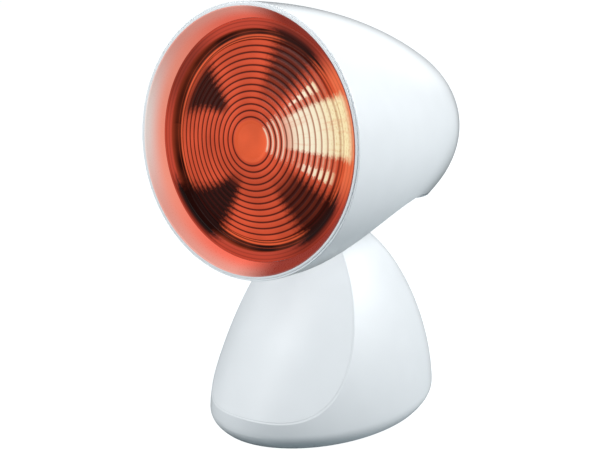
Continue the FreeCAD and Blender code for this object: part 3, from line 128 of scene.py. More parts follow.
class LampGlassSizes(bpy.types.PropertyGroup):
    radius: length("Glass radius", 0.061, "Radius of the lamp's edge")
    depth: length("Lens depth", 0.004, "Depth of the lens's middle behind the rim")
    arc: length("Lens arc", 0.205, "Radius of the lens's dome")
    glass: length("Glass", 0.0032, "Thickness of the lens")
    ridge_inner: length("Plain middle", 0.009, "Radius of the plain middle of the lens")
    ridge_pitch: length("Ridge pitch", 0.0032, "Spacing of the ridges")
    ridge_rise: length("Ridge rise", 0.00045, "Height of a ridge")
    ridges: IntProperty(name="Ridges", default=13, description="Number of ridges")
    groove_depth: length("Groove depth", 0.0115, "Depth of the groove round the ridges")
    groove_outer: length("Groove outer", 0.056, "Radius of the groove's outer side")
    front: length("Edge front", 0.0077, "Depth of the plain edge's front")
    seam: length("Seam", 0.0102, "Depth of the seam between lens and reflector")
    edge_bevel: length("Edge bevel", 0.0008, "Bevel of the lamp's edge")
    groove_slope: length("Groove slope", 0.0004, "How far the groove's sides lean")
    groove_wall: length("Groove wall", 0.0025, "Glass behind the groove")
    seam_lap: length("Seam lap", 0.0024, "Width of the seam between lens and reflector")


class LampBaseSizes(bpy.types.PropertyGroup):
    half_width: length("Half width", 0.0521, "Half width of the base where it is widest")
    half_depth: length("Half depth", 0.07166, "Half depth of the base where it is widest")
    belly: length("Belly height", 0.00943, "Height of the widest section")
    dome_height: length("Dome height", 0.0981, "Height from there to where the dome would close")
    fullness: factor("Fullness", 1.618, "Exponent of height in the dome's curve")
    roundness: factor("Roundness", 1.811, "Exponent of width in the dome's curve")
    drift: length("Drift", 0.0016, "How far the sections move back towards the top")
    tuck: length("Foot tuck", 0.00548, "How far the shell draws in at the floor")
    floor_gap: length("Floor gap", 0.0014, "Height of the shell's lower edge")
    top: length("Top height", 0.098, "Height of the flat top under the head")
    wall: length("Wall", 0.0026, "Wall of the base shell")
    face_foot: length("Face foot", -0.0801, "Place of the face's curve at the floor")
    face_head: length("Face head", -0.0118, "Place of the face's curve at its upper end")
    face_span: length("Face span", 0.099, "Height of the face's curve")
    face_arc: length("Face arc", 0.508, "Radius of the face seen from the side")
    face_vertex: length("Face vertex", 0.0349, "Radius of the face's parabola at its middle line")
    cover_wall: length("Cover wall", 0.0025, "Thickness of the front cover")
    cover_gap: length("Cover gap", 0.0001, "Gap round the front cover")
    cover_lip: length("Cover lip", 0.0003, "Lip of the base shell round the front cover")
    backing: length("Backing", 0.0024, "Wall behind the front cover")
    slot_width: length("Post slot half width", 0.0087, "Half width of the slot for the tilt joint's post")
    slot_reach: length("Post slot reach", 0.0108, "Half length of that slot")


class LampColours(bpy.types.PropertyGroup):
    white: colour("White", (0.778, 0.804, 0.823), "Moulded shell")
    # Painted reflections on the lens: the dark glass colour stands for dark reflected in the reflector, the
    # cream for a painted highlight, and the lit edge for a painted highlight on the plain edge.
    dark: colour("Dark glass", (0.011, 0.0035, 0.003), "Lens where the reflector is dark")
    ember: colour("Ember", (0.8, 0.118, 0.043), "Lens where the reflector is lit")
    painted_highlight: colour("Cream", (1.0, 0.85, 0.5), "Lens where the reflector shines brightest")
    edge: colour("Lens edge", (0.53, 0.063, 0.034), "Plain edge of the lens")
    edge_lit: colour("Lit lens edge", (0.85, 0.16, 0.065), "Plain edge of the lens beside the cream")
    # The ring's colours are painted light: the lamp's red light on the white cone, the room's light on its
    # rim, and painted shade on its far side.
    lit: colour("Lit ring", (0.8, 0.145, 0.092), "Ring's cone in the lamp's light")
    painted_foot_glow: colour("Warm ring", (0.86, 0.29, 0.2), "Foot of the cone where it is brightest")
    pale: colour("Pale ring", (0.74, 0.64, 0.6), "Rim of the cone where the room lights it")
    painted_rim_blush: colour("Blushing ring", (0.69, 0.29, 0.235), "Rim of the cone beside that")
    shade: colour("Shaded ring", (0.21, 0.027, 0.018), "Cone on the side in shadow")
    steel: colour("Steel", (0.55, 0.56, 0.57), "Plated steel")
    brass: colour("Brass", (0.72, 0.5, 0.22), "Contacts")
    aluminium: colour("Aluminium", (0.74, 0.74, 0.76), "Spun sheet")
    black: colour("Black", (0.018, 0.018, 0.019), "Switch")
    glass_glow: factor("Glass glow", 0.74, "Strength of the lens's own light")
    ring_glow: factor("Ring glow", 0.73, "Strength of the lamp's light on the ring's cone")


class LampStage(bpy.types.PropertyGroup):
    azimuth: angle("Azimuth", 38.1, "Camera's place round the lamp, from its front")
    elevation: angle("Elevation", 17.35, "Camera's height over the lamp")
    distance: length("Distance", 1.0, "Distance from camera to target")
    target_height: length("Target height", 0.10841, "Height of the point that the camera looks at")
    target_back: length("Target place", -0.02624, "Place of that point behind the tilt axis")
    focal: FloatProperty(name="Focal length", default=115.2, description="Camera's focal length in mm")
    right: factor("Light at the right", 17.8, "Power of the soft light at the lamp's right")
    front: factor("Light in front", 12.4, "Power of the soft light before the lamp, which casts no shadow")
    left: factor("Light at the left", 6.2, "Power of the low soft light at the lamp's left")
    back: factor("Light behind", 2.5, "Power of the soft light behind the lamp")
    world: factor("Room light", 0.13, "Strength of the even light all round")


GROUPS = {
    "heat_lamp_head": LampHeadSizes,
    "heat_lamp_ring": LampRingSizes,
    "heat_lamp_glass": LampGlassSizes,
    "heat_lamp_base": LampBaseSizes,
    "heat_lamp_colours": LampColours,
    "heat_lamp_stage": LampStage,
}


# ---------------------------------------------------------------- places


def head_matrix(head):
    """From the head frame (middle of the rim, Z out of the face, Y up) to the world."""
    back, up = math.cos(head.tilt), math.sin(head.tilt)
    place = Vector((
        0.0,
        PIVOT.y + head.axis_rise * up - head.pivot_depth * back,
        PIVOT.z + head.axis_rise * back + head.pivot_depth * up,
    ))
    return Matrix.Translation(place) @ Matrix.Rotation(math.pi / 2 - head.tilt, 4, "X")


def base_place():
    """The base frame's origin: the floor under the middle of the base, in front of the tilt axis."""
    pivot_back = 0.006
    return Vector((0.0, PIVOT.y - pivot_back, 0.0))


# ---------------------------------------------------------------- meshes


def link(obj):
    bpy.context.scene.collection.objects.link(obj)
    return obj


def solid(name, verts, faces, place=Matrix()):
    """A closed mesh with its doubles merged and its faces turned outwards."""
    mesh = bpy.data.meshes.new(name)
    mesh.from_pydata([place @ Vector(v) for v in verts], [], faces)
    clean(mesh)
    return link(bpy.data.objects.new(name, mesh))


def clean(mesh):
    shape = bmesh.new()
    shape.from_mesh(mesh)
    bmesh.ops.remove_doubles(shape, verts=shape.verts, dist=MERGE)
    bmesh.ops.dissolve_degenerate(shape, edges=shape.edges, dist=MERGE)
    bmesh.ops.recalc_face_normals(shape, faces=shape.faces)
    shape.to_mesh(mesh)
    shape.free()


def softened(path):
    """Rounds the corners of a (radius, height, rounding) path."""
    steps = 4
    out = []
    for number, (r, z, rounding) in enumerate(path):
        if not rounding or number in (0, len(path) - 1):
            out.append((r, z))
            continue
        here = Vector((r, z))
        before, after = Vector(path[number - 1][:2]), Vector(path[number + 1][:2])
        back, on = before - here, after - here
        rounding = min(rounding, back.length / 2, on.length / 2)
        start, end = here + back.normalized() * rounding, here + on.normalized() * rounding
        for step in range(steps + 1):
            t = step / steps
            out.append(tuple(start * (1 - t) ** 2 + here * 2 * t * (1 - t) + end * t**2))
    return out


def arc(centre, radius, first, last, steps):
    """Points on an arc, by the angle from the radial direction towards the rear."""
    return [(centre[0] + radius * math.cos(a), centre[1] - radius * math.sin(a))
            for a in (first + (last - first) * i / steps for i in range(steps + 1))]


def loop_at(z, half_x, half_y, count, middle=0.0, shift=0.0):
    """Points round an ellipse at a height."""
    return [(half_x * math.cos(a), middle + half_y * math.sin(a), z)
            for a in (2 * math.pi * (i + shift) / count for i in range(count))]


def revolved(name, path, place, segments, closed=False):
    """Turns a (radius, height) path about the Z axis. An end with radius 0 becomes a pole."""
    verts, rings = [], []
    for r, z in path:
        if r < MERGE:
            rings.append([len(verts)])
            verts.append((0.0, 0.0, z))
            continue
        rings.append(list(range(len(verts), len(verts) + segments)))
        verts += loop_at(z, r, r, segments)
    faces = []
    pairs = list(zip(rings, rings[1:])) + ([(rings[-1], rings[0])] if closed else [])
    for one, two in pairs:
        for i in range(segments):
            j = (i + 1) % segments
            corners = [one[i % len(one)], one[j % len(one)], two[j % len(two)], two[i % len(two)]]
            faces.append(list(dict.fromkeys(corners)))
    return solid(name, verts, [f for f in faces if len(f) > 2], place)


def stacked(name, loops, place=Matrix()):
    """Closes a stack of loops, each with the same number of points, into a solid."""
    count = len(loops[0])
    verts = [point for loop in loops for point in loop]
    faces = []
    for level in range(len(loops) - 1):
        for i in range(count):
            j = (i + 1) % count
            low, high = level * count, (level + 1) * count
            faces.append((low + i, low + j, high + j, high + i))
    faces += [tuple(range(count)), tuple(range(len(verts) - count, len(verts)))]
    return solid(name, verts, faces, place)


def box(name, low, high, place=Matrix()):
    corners = ((low[0], low[1]), (high[0], low[1]), (high[0], high[1]), (low[0], high[1]))
    return stacked(name, [[(*corner, z) for corner in corners] for z in (low[2], high[2])], place)


def cylinder(name, radius, low, high, place=Matrix(), segments=96):
    return stacked(name, [loop_at(z, radius, radius, segments) for z in (low, high)], place)


def settle(obj):
    """Makes the modifiers' result the object's own mesh and takes the modifiers away."""
    shown = obj.evaluated_get(bpy.context.evaluated_depsgraph_get())
    mesh = bpy.data.meshes.new_from_object(shown)
    mesh.name = obj.name
    obj.modifiers.clear()
    old, obj.data = obj.data, mesh
    bpy.data.meshes.remove(old)
    return obj


def discard(obj):
    mesh = obj.data
    bpy.data.objects.remove(obj)
    bpy.data.meshes.remove(mesh)


def carve(obj, operation, *tools):
    """Cuts closed tools from an object, or keeps what it shares with them. The tools are used up."""
    for tool in tools:
        change = obj.modifiers.new("carve", "BOOLEAN")
        change.operation = operation
        change.solver = "EXACT"
        change.use_self = tool.name == "slots"  # their boxes and round ends overlap each other
        change.object = tool
        settle(obj)
        discard(tool)
    if not obj.data.polygons:
        raise RuntimeError(f"{obj.name} came out empty")
    return obj


def smooth(obj, limit=30):
    """Smooth shading that stops at edges sharper than the limit."""
    obj.data.polygons.foreach_set("use_smooth", [True] * len(obj.data.polygons))
    obj.data.set_sharp_from_angle(angle=math.radians(limit))
    return obj


def settled_copy(node, name, bevel, limit):
    """A merged, smooth copy of a carried-over node, with rounded edges where a bevel is given."""
    mesh = frame["nodes"][node].data.copy()
    mesh.name = name
    shape = bmesh.new()
    shape.from_mesh(mesh)
    bmesh.ops.remove_doubles(shape, verts=shape.verts, dist=2 * MERGE)
    flat = math.radians(0.2)
    bmesh.ops.dissolve_limit(shape, angle_limit=flat, verts=shape.verts, edges=shape.edges)
    shape.to_mesh(mesh)
    shape.free()
    obj = link(bpy.data.objects.new(name, mesh))
    if bevel:
        change = obj.modifiers.new("edge", "BEVEL")
        change.width = bevel
        change.segments = 2
        change.limit_method = "ANGLE"
        change.angle_limit = math.radians(limit)
        settle(obj)
    return smooth(obj, limit)


def finish_piece(obj, material, *nodes):
    """Gives a piece its finish, puts it on the body of the nodes it stands for, and hides those nodes."""
    body = next(b for b, held in frame["record"]["behaviour"]["bodies"].items() if nodes[0] in held)
    obj.data.materials.clear()
    obj.data.materials.append(material)
    for polygon in obj.data.polygons:
        polygon.material_index = 0
    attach(obj, body)
    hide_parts(*nodes)


# ---------------------------------------------------------------- nodes


FLOAT, VECTOR = "NodeSocketFloat", "NodeSocketVector"


def socket(tree, kind, name, way, default=None):
    made = tree.interface.new_socket(name=name, in_out=way, socket_type=kind)
    if default is not None:
        made.default_value = default


class Wiring:
    """Short ways to add and join nodes in a tree. In the names of inputs, underscores stand for spaces."""

    def __init__(self, tree):
        self.tree = tree

    def feed(self, target, value):
        if isinstance(value, bpy.types.NodeSocket):
            self.tree.links.new(value, target)
        else:
            target.default_value = (*value, 1.0) if target.type == "RGBA" else value

    def join(self, node, **inputs):
        for name, value in inputs.items():
            self.feed(node.inputs[name.replace("_", " ")], value)
        return node

    def add(self, kind, **inputs):
        return self.join(self.tree.nodes.new(kind), **inputs)

    def group(self, tree, **inputs):
        node = self.add("ShaderNodeGroup")
        node.node_tree = tree
        return self.join(node, **inputs).outputs

    def math(self, operation, *values):
        node = self.add("ShaderNodeMath")
        node.operation = operation
        for target, value in zip(node.inputs, values):
            self.feed(target, value)
        return node.outputs[0]

    def chain(self, operation, first, *others):
        for value in others:
            first = self.math(operation, first, value)
        return first

    def plus(self, *values):
        return self.chain("ADD", *values)

    def minus(self, *values):
        return self.chain("SUBTRACT", *values)

    def times(self, *values):
        return self.chain("MULTIPLY", *values)

    def most(self, *values):
        return self.chain("MAXIMUM", *values)

    def vector(self, **axes):
        return self.add("ShaderNodeCombineXYZ", **axes).outputs[0]

    def axes(self, vector):
        return self.add("ShaderNodeSeparateXYZ", Vector=vector).outputs

    def ramp(self, value, low, high, to_low=0.0, to_high=1.0):
        """Goes smoothly from one value to another while the input goes from low to high."""
        node = self.add("ShaderNodeMapRange", Value=value, From_Min=low, From_Max=high, To_Min=to_low,
                        To_Max=to_high)
        node.interpolation_type = "SMOOTHSTEP"
        return node.outputs[0]

    def fall(self, value, low, high):
        return self.ramp(value, low, high, 1.0, 0.0)

    def mix(self, share, first, second, blend="MIX"):
        node = self.add("ShaderNodeMix")
        node.data_type = "RGBA"
        node.blend_type = blend
        for number, value in ((0, share), (6, first), (7, second)):
            self.feed(node.inputs[number], value)
        return node.outputs[2]

    def noise(self, vector, scale, detail=2.0, rough=0.5):
        node = self.add("ShaderNodeTexNoise", Vector=vector, Scale=scale, Detail=detail, Roughness=rough)
        return node.outputs["Fac"]


def group_tree(name, inputs, outputs):
    """A shader node group with its ends. Inputs come with their defaults, and one without is a vector."""
    tree = bpy.data.node_groups.new(name, "ShaderNodeTree")
    for label, default in inputs.items():
        socket(tree, VECTOR if default is None else FLOAT, label, "INPUT", default)
    for label in outputs:
        socket(tree, FLOAT, label, "OUTPUT")
    wire = Wiring(tree)
    return tree, wire.add("NodeGroupInput").outputs, wire.add("NodeGroupOutput"), wire


def skin_group():
    """The fine uneven skin of a moulded or cast surface: a height, a gloss mask and a tint mask."""
    if "moulded_skin" in bpy.data.node_groups:
        return bpy.data.node_groups["moulded_skin"]
    tree, given, end, wire = group_tree("moulded_skin", {"Place": None, "Grain": 900.0, "Waves": 60.0},
                                        ("Height", "Gloss", "Tint"))
    grain = wire.noise(given["Place"], given["Grain"], 3.0)
    waves = wire.noise(given["Place"], given["Waves"], 1.0)
    wire.join(end, Height=wire.plus(wire.times(grain, 0.25), waves), Gloss=grain, Tint=waves)
    return tree


def turned_from(wire, way, middle):
    """How many degrees an angle lies off another, up to 180."""
    return wire.math("ABSOLUTE", wire.math("WRAP", wire.minus(way, middle), 180.0, -180.0))


def sector_group():
    """A soft-edged sector of a ring: 1 inside its angles and radii, 0 outside."""
    if "soft_sector" in bpy.data.node_groups:
        return bpy.data.node_groups["soft_sector"]
    tree, given, end, wire = group_tree(
        "soft_sector",
        {"Angle": 0.0, "Radius": 0.0, "Centre": 0.0, "Half": 10.0, "Soft": 4.0, "Inner": 0.0, "Outer": 50.0,
         "Inner Fade": 4.0, "Outer Fade": 4.0},
        ("Mask",),
    )
    radius, half, soft = given["Radius"], given["Half"], given["Soft"]
    off = turned_from(wire, given["Angle"], given["Centre"])
    across = wire.fall(off, wire.minus(half, soft), wire.plus(half, soft))
    rise = wire.ramp(radius, given["Inner"], wire.plus(given["Inner"], given["Inner Fade"]))
    drop = wire.fall(radius, wire.minus(given["Outer"], given["Outer Fade"]), given["Outer"])
    wire.join(end, Mask=wire.times(across, rise, drop))
    return tree


def polar_group(head):
    """Radius in millimetres, angle in degrees and depth in millimetres round the lamp's axis."""
    if "lamp_axis" in bpy.data.node_groups:
        return bpy.data.node_groups["lamp_axis"]
    tree, given, end, wire = group_tree("lamp_axis", {"Place": None}, ("Radius", "Angle", "Depth"))
    inverse = head_matrix(head).inverted()
    turned = wire.add("ShaderNodeMapping", Vector=given["Place"], Rotation=inverse.to_euler(),
                      Location=inverse.translation)
    x, y, z = wire.axes(turned.outputs[0])
    reach = wire.add("ShaderNodeVectorMath")
    reach.operation = "LENGTH"
    wire.feed(reach.inputs[0], wire.vector(X=x, Y=y))
    wire.join(end, Radius=wire.times(reach.outputs["Value"], 1000.0),
              Angle=wire.math("DEGREES", wire.math("ARCTAN2", y, x)), Depth=wire.times(z, -1000.0))
    return tree


def new_material(name):
    material = bpy.data.materials.new(name)
    material.use_nodes = True
    tree = material.node_tree
    shader = next(node for node in tree.nodes if node.type == "BSDF_PRINCIPLED")
    place = tree.nodes.new("ShaderNodeTexCoord").outputs["Object"]
    return material, shader, place, Wiring(tree)


def bumped(wire, shader, height, strength, distance=0.0002):
    bump = wire.add("ShaderNodeBump", Strength=strength, Distance=distance, Height=height)
    wire.join(shader, Normal=bump.outputs["Normal"])


def shade_of(base, share):
    return tuple(min(1.0, channel * share) for channel in base)


def uneven(wire, mask, value, share):
    """A value that a noise mask varies by a share to either side."""
    return wire.ramp(mask, 0.3, 0.7, value * (1 - share), value * (1 + share))


def built_once(build):
    """Hands out the material that already bears a name, and builds it only where there is none.

    The frame brings materials too, and a finish that is called as one of them keeps the frame's plain look:
    brass, tungsten, porcelain, silvered_glass, bushing_rubber and foot_rubber.
    """
    def finish(name, *values, **more):
        return bpy.data.materials.get(name) or build(name, *values, **more)
    return finish


@built_once
def plastic(name, base, rough, waves=60.0, grain=1400.0, bump=0.02, edge=1.0):
    """Moulded plastic with a faintly uneven skin. Edge is the share of its colour left at the outline, where
    it is darkened as painted shade.
    """
    material, shader, place, wire = new_material(name)
    skin = wire.group(skin_group(), Place=place, Grain=grain, Waves=waves)
    tint = wire.mix(skin["Tint"], shade_of(base, 0.97), shade_of(base, 1.02))
    if edge < 1.0:
        # painted shade: the colour is darkened towards black at the outline
        painted_outline_shade = wire.add("ShaderNodeLayerWeight").outputs["Facing"]
        tint = wire.mix(wire.ramp(painted_outline_shade, 0.75, 1.0, 0.0, 1.0 - edge), tint, BLACK)
    wire.join(shader, Base_Color=tint, Roughness=uneven(wire, skin["Gloss"], rough, 0.15))
    bumped(wire, shader, skin["Height"], bump)
    return material


# The head's white is a lighter copy of the shell white, as painted light; both whites are darkened at the
# outline as painted shade, the head's more strongly.
def head_white(colours):
    return plastic("head_white", shade_of(colours.white, 1.05), 0.38, edge=0.38)


def base_white(colours):
    return plastic("base_white", colours.white, 0.46, edge=0.72)


def lined_metal(material, shader, wire, base, rough, lines, bump):
    """Bare metal whose tool marks follow the given lines."""
    wire.join(shader, Base_Color=wire.mix(lines, shade_of(base, 0.85), shade_of(base, 1.08)),
              Roughness=uneven(wire, lines, rough, 0.3), Metallic=1.0)
    bumped(wire, shader, lines, bump, 0.00005)
    return material


@built_once
def metal(name, base, rough, stretch=(1.0, 1.0, 1.0)):
    """Plated or drawn metal with fine lines along one way."""
    material, shader, place, wire = new_material(name)
    mapping = wire.add("ShaderNodeMapping", Vector=place, Scale=stretch)
    lines = wire.noise(mapping.outputs[0], 160.0, 4.0, 0.6)
    return lined_metal(material, shader, wire, base, rough, lines, 0.15)


@built_once
def spun_metal(name, base, rough, head):
    """Sheet spun on a lathe: fine rings round the lamp's axis."""
    material, shader, place, wire = new_material(name)
    axis = wire.group(polar_group(head), Place=place)
    rings = wire.vector(X=axis["Radius"], Y=axis["Depth"])
    lines = wire.noise(rings, 3.0, 5.0, 0.7)
    return lined_metal(material, shader, wire, base, rough, lines, 0.3)


@built_once
def rubber(name, base):
    material, shader, place, wire = new_material(name)
    specks = wire.noise(place, 2200.0, 5.0, 0.7)
    wire.join(shader, Base_Color=wire.mix(specks, shade_of(base, 0.8), shade_of(base, 1.3)),
              Roughness=uneven(wire, specks, 0.8, 0.125))
    bumped(wire, shader, specks, 0.25)
    return material


def ring_white(head, ring, colours):
    """The ring's white, with the lamp's red light on the cone: pale to the left, in shadow to the right."""
    material, shader, place, wire = new_material("ring_white")
    axis = wire.group(polar_group(head), Place=place)
    skin = wire.group(skin_group(), Place=place, Grain=1400.0, Waves=60.0)
    radius, way = axis["Radius"], axis["Angle"]
    lip = (head.rim_radius - head.rim_edge - ring.groove - ring.lip_wall) * 1000
    foot = ring.cone_foot * 1000
    inside = wire.fall(radius, lip + 0.45, lip + 0.7)
    # painted light: the lamp's red light on the cone, warm at its foot, and the room's light paling its rim
    # on the left
    left = turned_from(wire, way, 180.0)
    low = wire.mix(wire.ramp(left, 20.0, 75.0), colours.painted_foot_glow, colours.lit)
    high = wire.mix(wire.ramp(left, 0.0, 45.0), colours.pale, colours.painted_rim_blush)
    painted_lamp_light = wire.mix(wire.ramp(radius, foot + 0.4, lip - 0.2), low, high)
    # painted shade on the cone's right side and behind the cone
    painted_lamp_light = wire.mix(wire.fall(turned_from(wire, way, 4.0), 72.0, 98.0), painted_lamp_light, colours.shade)
    shaded_behind_cone = wire.ramp(axis["Depth"], 7.9, 8.3)
    painted_lamp_light = wire.mix(shaded_behind_cone, painted_lamp_light, (0.3, 0.04, 0.022))
    # the cone takes the painted light as its colour and glows with it, though the ring is no lamp
    wire.join(shader, Base_Color=wire.mix(inside, colours.white, wire.mix(0.5, painted_lamp_light, BLACK)),
              Emission_Color=wire.mix(inside, BLACK, painted_lamp_light), Emission_Strength=colours.ring_glow,
              Roughness=wire.ramp(skin["Gloss"], 0.3, 0.7, 0.26, 0.34))
    bumped(wire, shader, skin["Height"], 0.02)
    return material


# Lines and sectors of the glass, in degrees and millimetres. A line is its inner and outer radius, and its
# strength where that is less than full.
RIDGE_END_LINE = (51.4, 52.0)
FINE_LINES = ((57.4, 57.9, 0.35), (59.3, 59.8, 0.45))
# The groove band is painted shade in the groove round the ridges, and the glint a painted glint in it.
GROOVE_SHADE_BAND = (52.9, 56.0)
GROOVE_PAINTED_GLINT = (54.3, 54.6)
# A sector is its angle and half width at the sector radius; softness; inner and outer radius and their
# fades; strength; and how far the angle and the half width change with each millimetre outwards.
SECTOR_RADIUS = 40.0
# The sectors are painted reflections: dark ones where the reflector shows dark, cream, streak and arc ones as
# painted highlights, and edge ones as painted dark reflections on the plain edge.
PAINTED_DARK_REFLECTIONS = (
    (69.0, 13.0, 7.0, 14.0, 60.5, 24.0, 4.0, 0.9, 0.0, 0.0),
    (151.0, 13.5, 6.0, 19.0, 53.0, 8.0, 8.0, 0.97, 0.37, 0.45),
    (238.0, 13.0, 6.0, 16.0, 61.5, 12.0, 4.0, 1.0, -0.52, 0.25),
    (321.5, 14.0, 7.0, 17.0, 61.0, 18.0, 4.0, 0.98, 0.0, 0.0),
)
PAINTED_HIGHLIGHT_SECTORS = (
    (17.3, 18.6, 2.6, 16.0, 61.5, 15.0, 5.0, 1.0, -0.1, -0.1),
)
PAINTED_STREAK_SECTORS = (
    (44.5, 2.7, 1.4, 22.0, 49.0, 12.0, 4.0, 1.0, -0.1, 0.12),
    (346.3, 3.4, 1.6, 27.0, 51.0, 8.0, 4.0, 0.95, 0.05, 0.05),
)
PAINTED_ARC_SECTORS = (
    (15.0, 33.0, 6.0, 8.5, 24.0, 2.0, 4.0, 0.62, 0.0, 0.0),
    (16.0, 31.0, 7.0, 16.0, 52.0, 8.0, 8.0, 0.34, 0.0, 0.0),
)
PAINTED_EDGE_REFLECTIONS = (
    (68.0, 17.0, 12.0, 50.0, 90.0, 1.0, 1.0, 0.5, 0.0, 0.0),
    (149.0, 20.0, 14.0, 50.0, 90.0, 1.0, 1.0, 0.5, 0.0, 0.0),
    (310.0, 16.0, 14.0, 50.0, 90.0, 1.0, 1.0, 0.45, 0.0, 0.0),
)


def red_glass(head, glass, colours):
    """Ridged red glass over a bright reflector: painted reflections in lit and dark sectors, and painted
    shade in a dark line in each valley.
    """
    material, shader, place, wire = new_material("red_glass")
    axis = wire.group(polar_group(head), Place=place)
    radius, way = axis["Radius"], axis["Angle"]
    pitch, start = glass.ridge_pitch * 1000, glass.ridge_inner * 1000
    outer, edge = start + pitch * glass.ridges, glass.groove_outer * 1000
    turns = wire.math("FRACT", wire.math("DIVIDE", wire.minus(radius, start), pitch))
    valley = wire.times(wire.math("ABSOLUTE", wire.minus(turns, 0.5)), 2.0)
    ridged = wire.times(wire.ramp(radius, start + 1.2, start + 2.2), wire.fall(radius, outer, outer + 0.4))

    def blur(along, outwards, detail=2.0):
        """Noise that is drawn out round the axis or away from it."""
        return wire.noise(wire.vector(X=wire.times(way, along), Y=wire.times(radius, outwards)), 1.0, detail)

    def sectors(rows, comb, ragged):
        """The strongest of the rows' sectors, with edges that follow the ridges and are a little ragged."""
        masks = []
        for centre, half, soft, inner, outside, rise, fall, strength, drift, spread in rows:
            width = wire.plus(wire.times(valley, comb), half, wire.times(off, spread),
                              wire.ramp(grain, 0.3, 0.7, -ragged, ragged))
            middle = wire.plus(wire.times(off, drift), centre)
            sector = wire.group(sector_group(), Angle=way, Radius=radius, Centre=middle, Half=width,
                                Soft=soft, Inner=inner, Outer=outside, Inner_Fade=rise, Outer_Fade=fall)
            masks.append(wire.times(sector["Mask"], strength))
        return wire.most(*masks)

    def band(low, high, soft=0.4):
        """A soft ring between two radii."""
        rise = wire.ramp(radius, low - soft, low + soft)
        return wire.times(rise, wire.fall(radius, high - soft, high + soft))

    streaks, grain = blur(0.35, 0.05, 3.0), blur(0.5, 1.3)
    off = wire.minus(radius, SECTOR_RADIUS)
    # the right side, where the painted highlights fall
    right = wire.group(sector_group(), Angle=way, Radius=radius, Centre=15.0, Half=32.0, Soft=10.0,
                       Inner=-9.0, Outer=90.0, Inner_Fade=1.0, Outer_Fade=1.0)["Mask"]
    crown = wire.fall(valley, 0.3, 0.75)

    # painted shade: dark lines in the valleys and at the ridges' end, and the darker groove round the ridges,
    # lighter on the lit right side and at a painted glint; thin dark lines also run on the plain edge
    line = wire.most(wire.times(wire.ramp(valley, 0.55, 0.9), ridged), band(*RIDGE_END_LINE))
    fine = wire.plus(*(wire.times(band(low, high, 0.3), strength) for low, high, strength in FINE_LINES))
    line = wire.most(line, fine)
    patchy = wire.noise(wire.vector(X=wire.times(way, 0.03)), 1.0)
    groove = wire.times(band(*GROOVE_SHADE_BAND), wire.ramp(patchy, 0.35, 0.65, 0.86, 1.0))
    groove = wire.times(groove, wire.ramp(band(*GROOVE_PAINTED_GLINT, 0.3), 0.0, 1.0, 1.0, 0.72))
    groove = wire.times(groove, wire.ramp(right, 0.0, 1.0, 1.0, 0.05))

    # painted reflections: sectors where the reflector shows dark, and painted highlights where it shines; a
    # crest shows through the dark ones
    through = wire.ramp(turned_from(wire, way, 195.0), 55.0, 80.0, 0.985, 0.87)
    dark = sectors(PAINTED_DARK_REFLECTIONS, 4.0, 1.5)
    dark = wire.times(dark, wire.ramp(wire.times(crown, ridged), 0.0, 1.0, 1.0, through))
    painted_streak = wire.times(sectors(PAINTED_STREAK_SECTORS, 0.0, 1.0), crown)
    arcs = wire.times(sectors(PAINTED_ARC_SECTORS, 0.0, 4.0), wire.ramp(valley, 0.1, 0.5, 1.0, 0.1))
    painted_highlight = wire.most(sectors(PAINTED_HIGHLIGHT_SECTORS, -1.5, 1.0), painted_streak, arcs)

    cloud = wire.noise(place, 38.0)
    ember = colours.ember
    look = wire.mix(wire.ramp(cloud, 0.35, 0.65), shade_of(ember, 0.85), shade_of(ember, 1.12))
    look = wire.mix(ridged, look, (0.84, 0.74, 0.85), "MULTIPLY")
    # painted highlight on the plain edge at the right, and painted dark reflections in its sectors
    plain = wire.mix(right, colours.edge, colours.edge_lit)
    plain = wire.mix(sectors(PAINTED_EDGE_REFLECTIONS, 0.0, 0.0), plain, colours.dark)
    look = wire.mix(wire.ramp(radius, edge - 0.5, edge + 0.3), look, plain)
    # painted dark reflections over the ridged lens
    look = wire.mix(dark, look, colours.dark)
    # painted highlight: its palest core, its cream colour, streaky ember and darker specks in it
    painted_highlight_core, painted_highlight_speck = (1.0, 0.9, 0.68), (0.72, 0.42, 0.16)
    bright = wire.mix(wire.ramp(radius, 34.0, 56.0), painted_highlight_core, colours.painted_highlight)
    bright = wire.mix(wire.ramp(streaks, 0.5, 0.8, 0.0, 0.35), bright, ember)
    specks = wire.times(wire.ramp(grain, 0.45, 0.75, 0.0, 0.55), wire.ramp(radius, 40.0, 50.0))
    look = wire.mix(painted_highlight, look, wire.mix(specks, bright, painted_highlight_speck))
    # painted highlight: the lines are paler on the lit right side
    painted_light_on_lines = wire.times(right, wire.ramp(radius, 36.0, 52.0, 0.0, 0.32))
    depth = wire.minus(0.92, wire.times(painted_highlight, 0.12), painted_light_on_lines)
    # painted shade in the valley lines and the groove; within the painted highlight the lines take a lit
    # colour
    line_painted_shade, line_painted_highlight, groove_painted_shade = (0.05, 0.006, 0.004), (0.38, 0.085, 0.03), (0.02, 0.004, 0.003)
    look = wire.mix(wire.times(line, depth), look, wire.mix(painted_highlight, line_painted_shade, line_painted_highlight))
    look = wire.mix(groove, look, groove_painted_shade)
    wire.join(shader, Base_Color=wire.mix(0.75, look, BLACK), Emission_Color=look,
              Emission_Strength=colours.glass_glow, Roughness=0.16, Specular_IOR_Level=0.05)
    bumped(wire, shader, wire.noise(place, 420.0), 0.04)
    return material


# ---------------------------------------------------------------- the head's shape


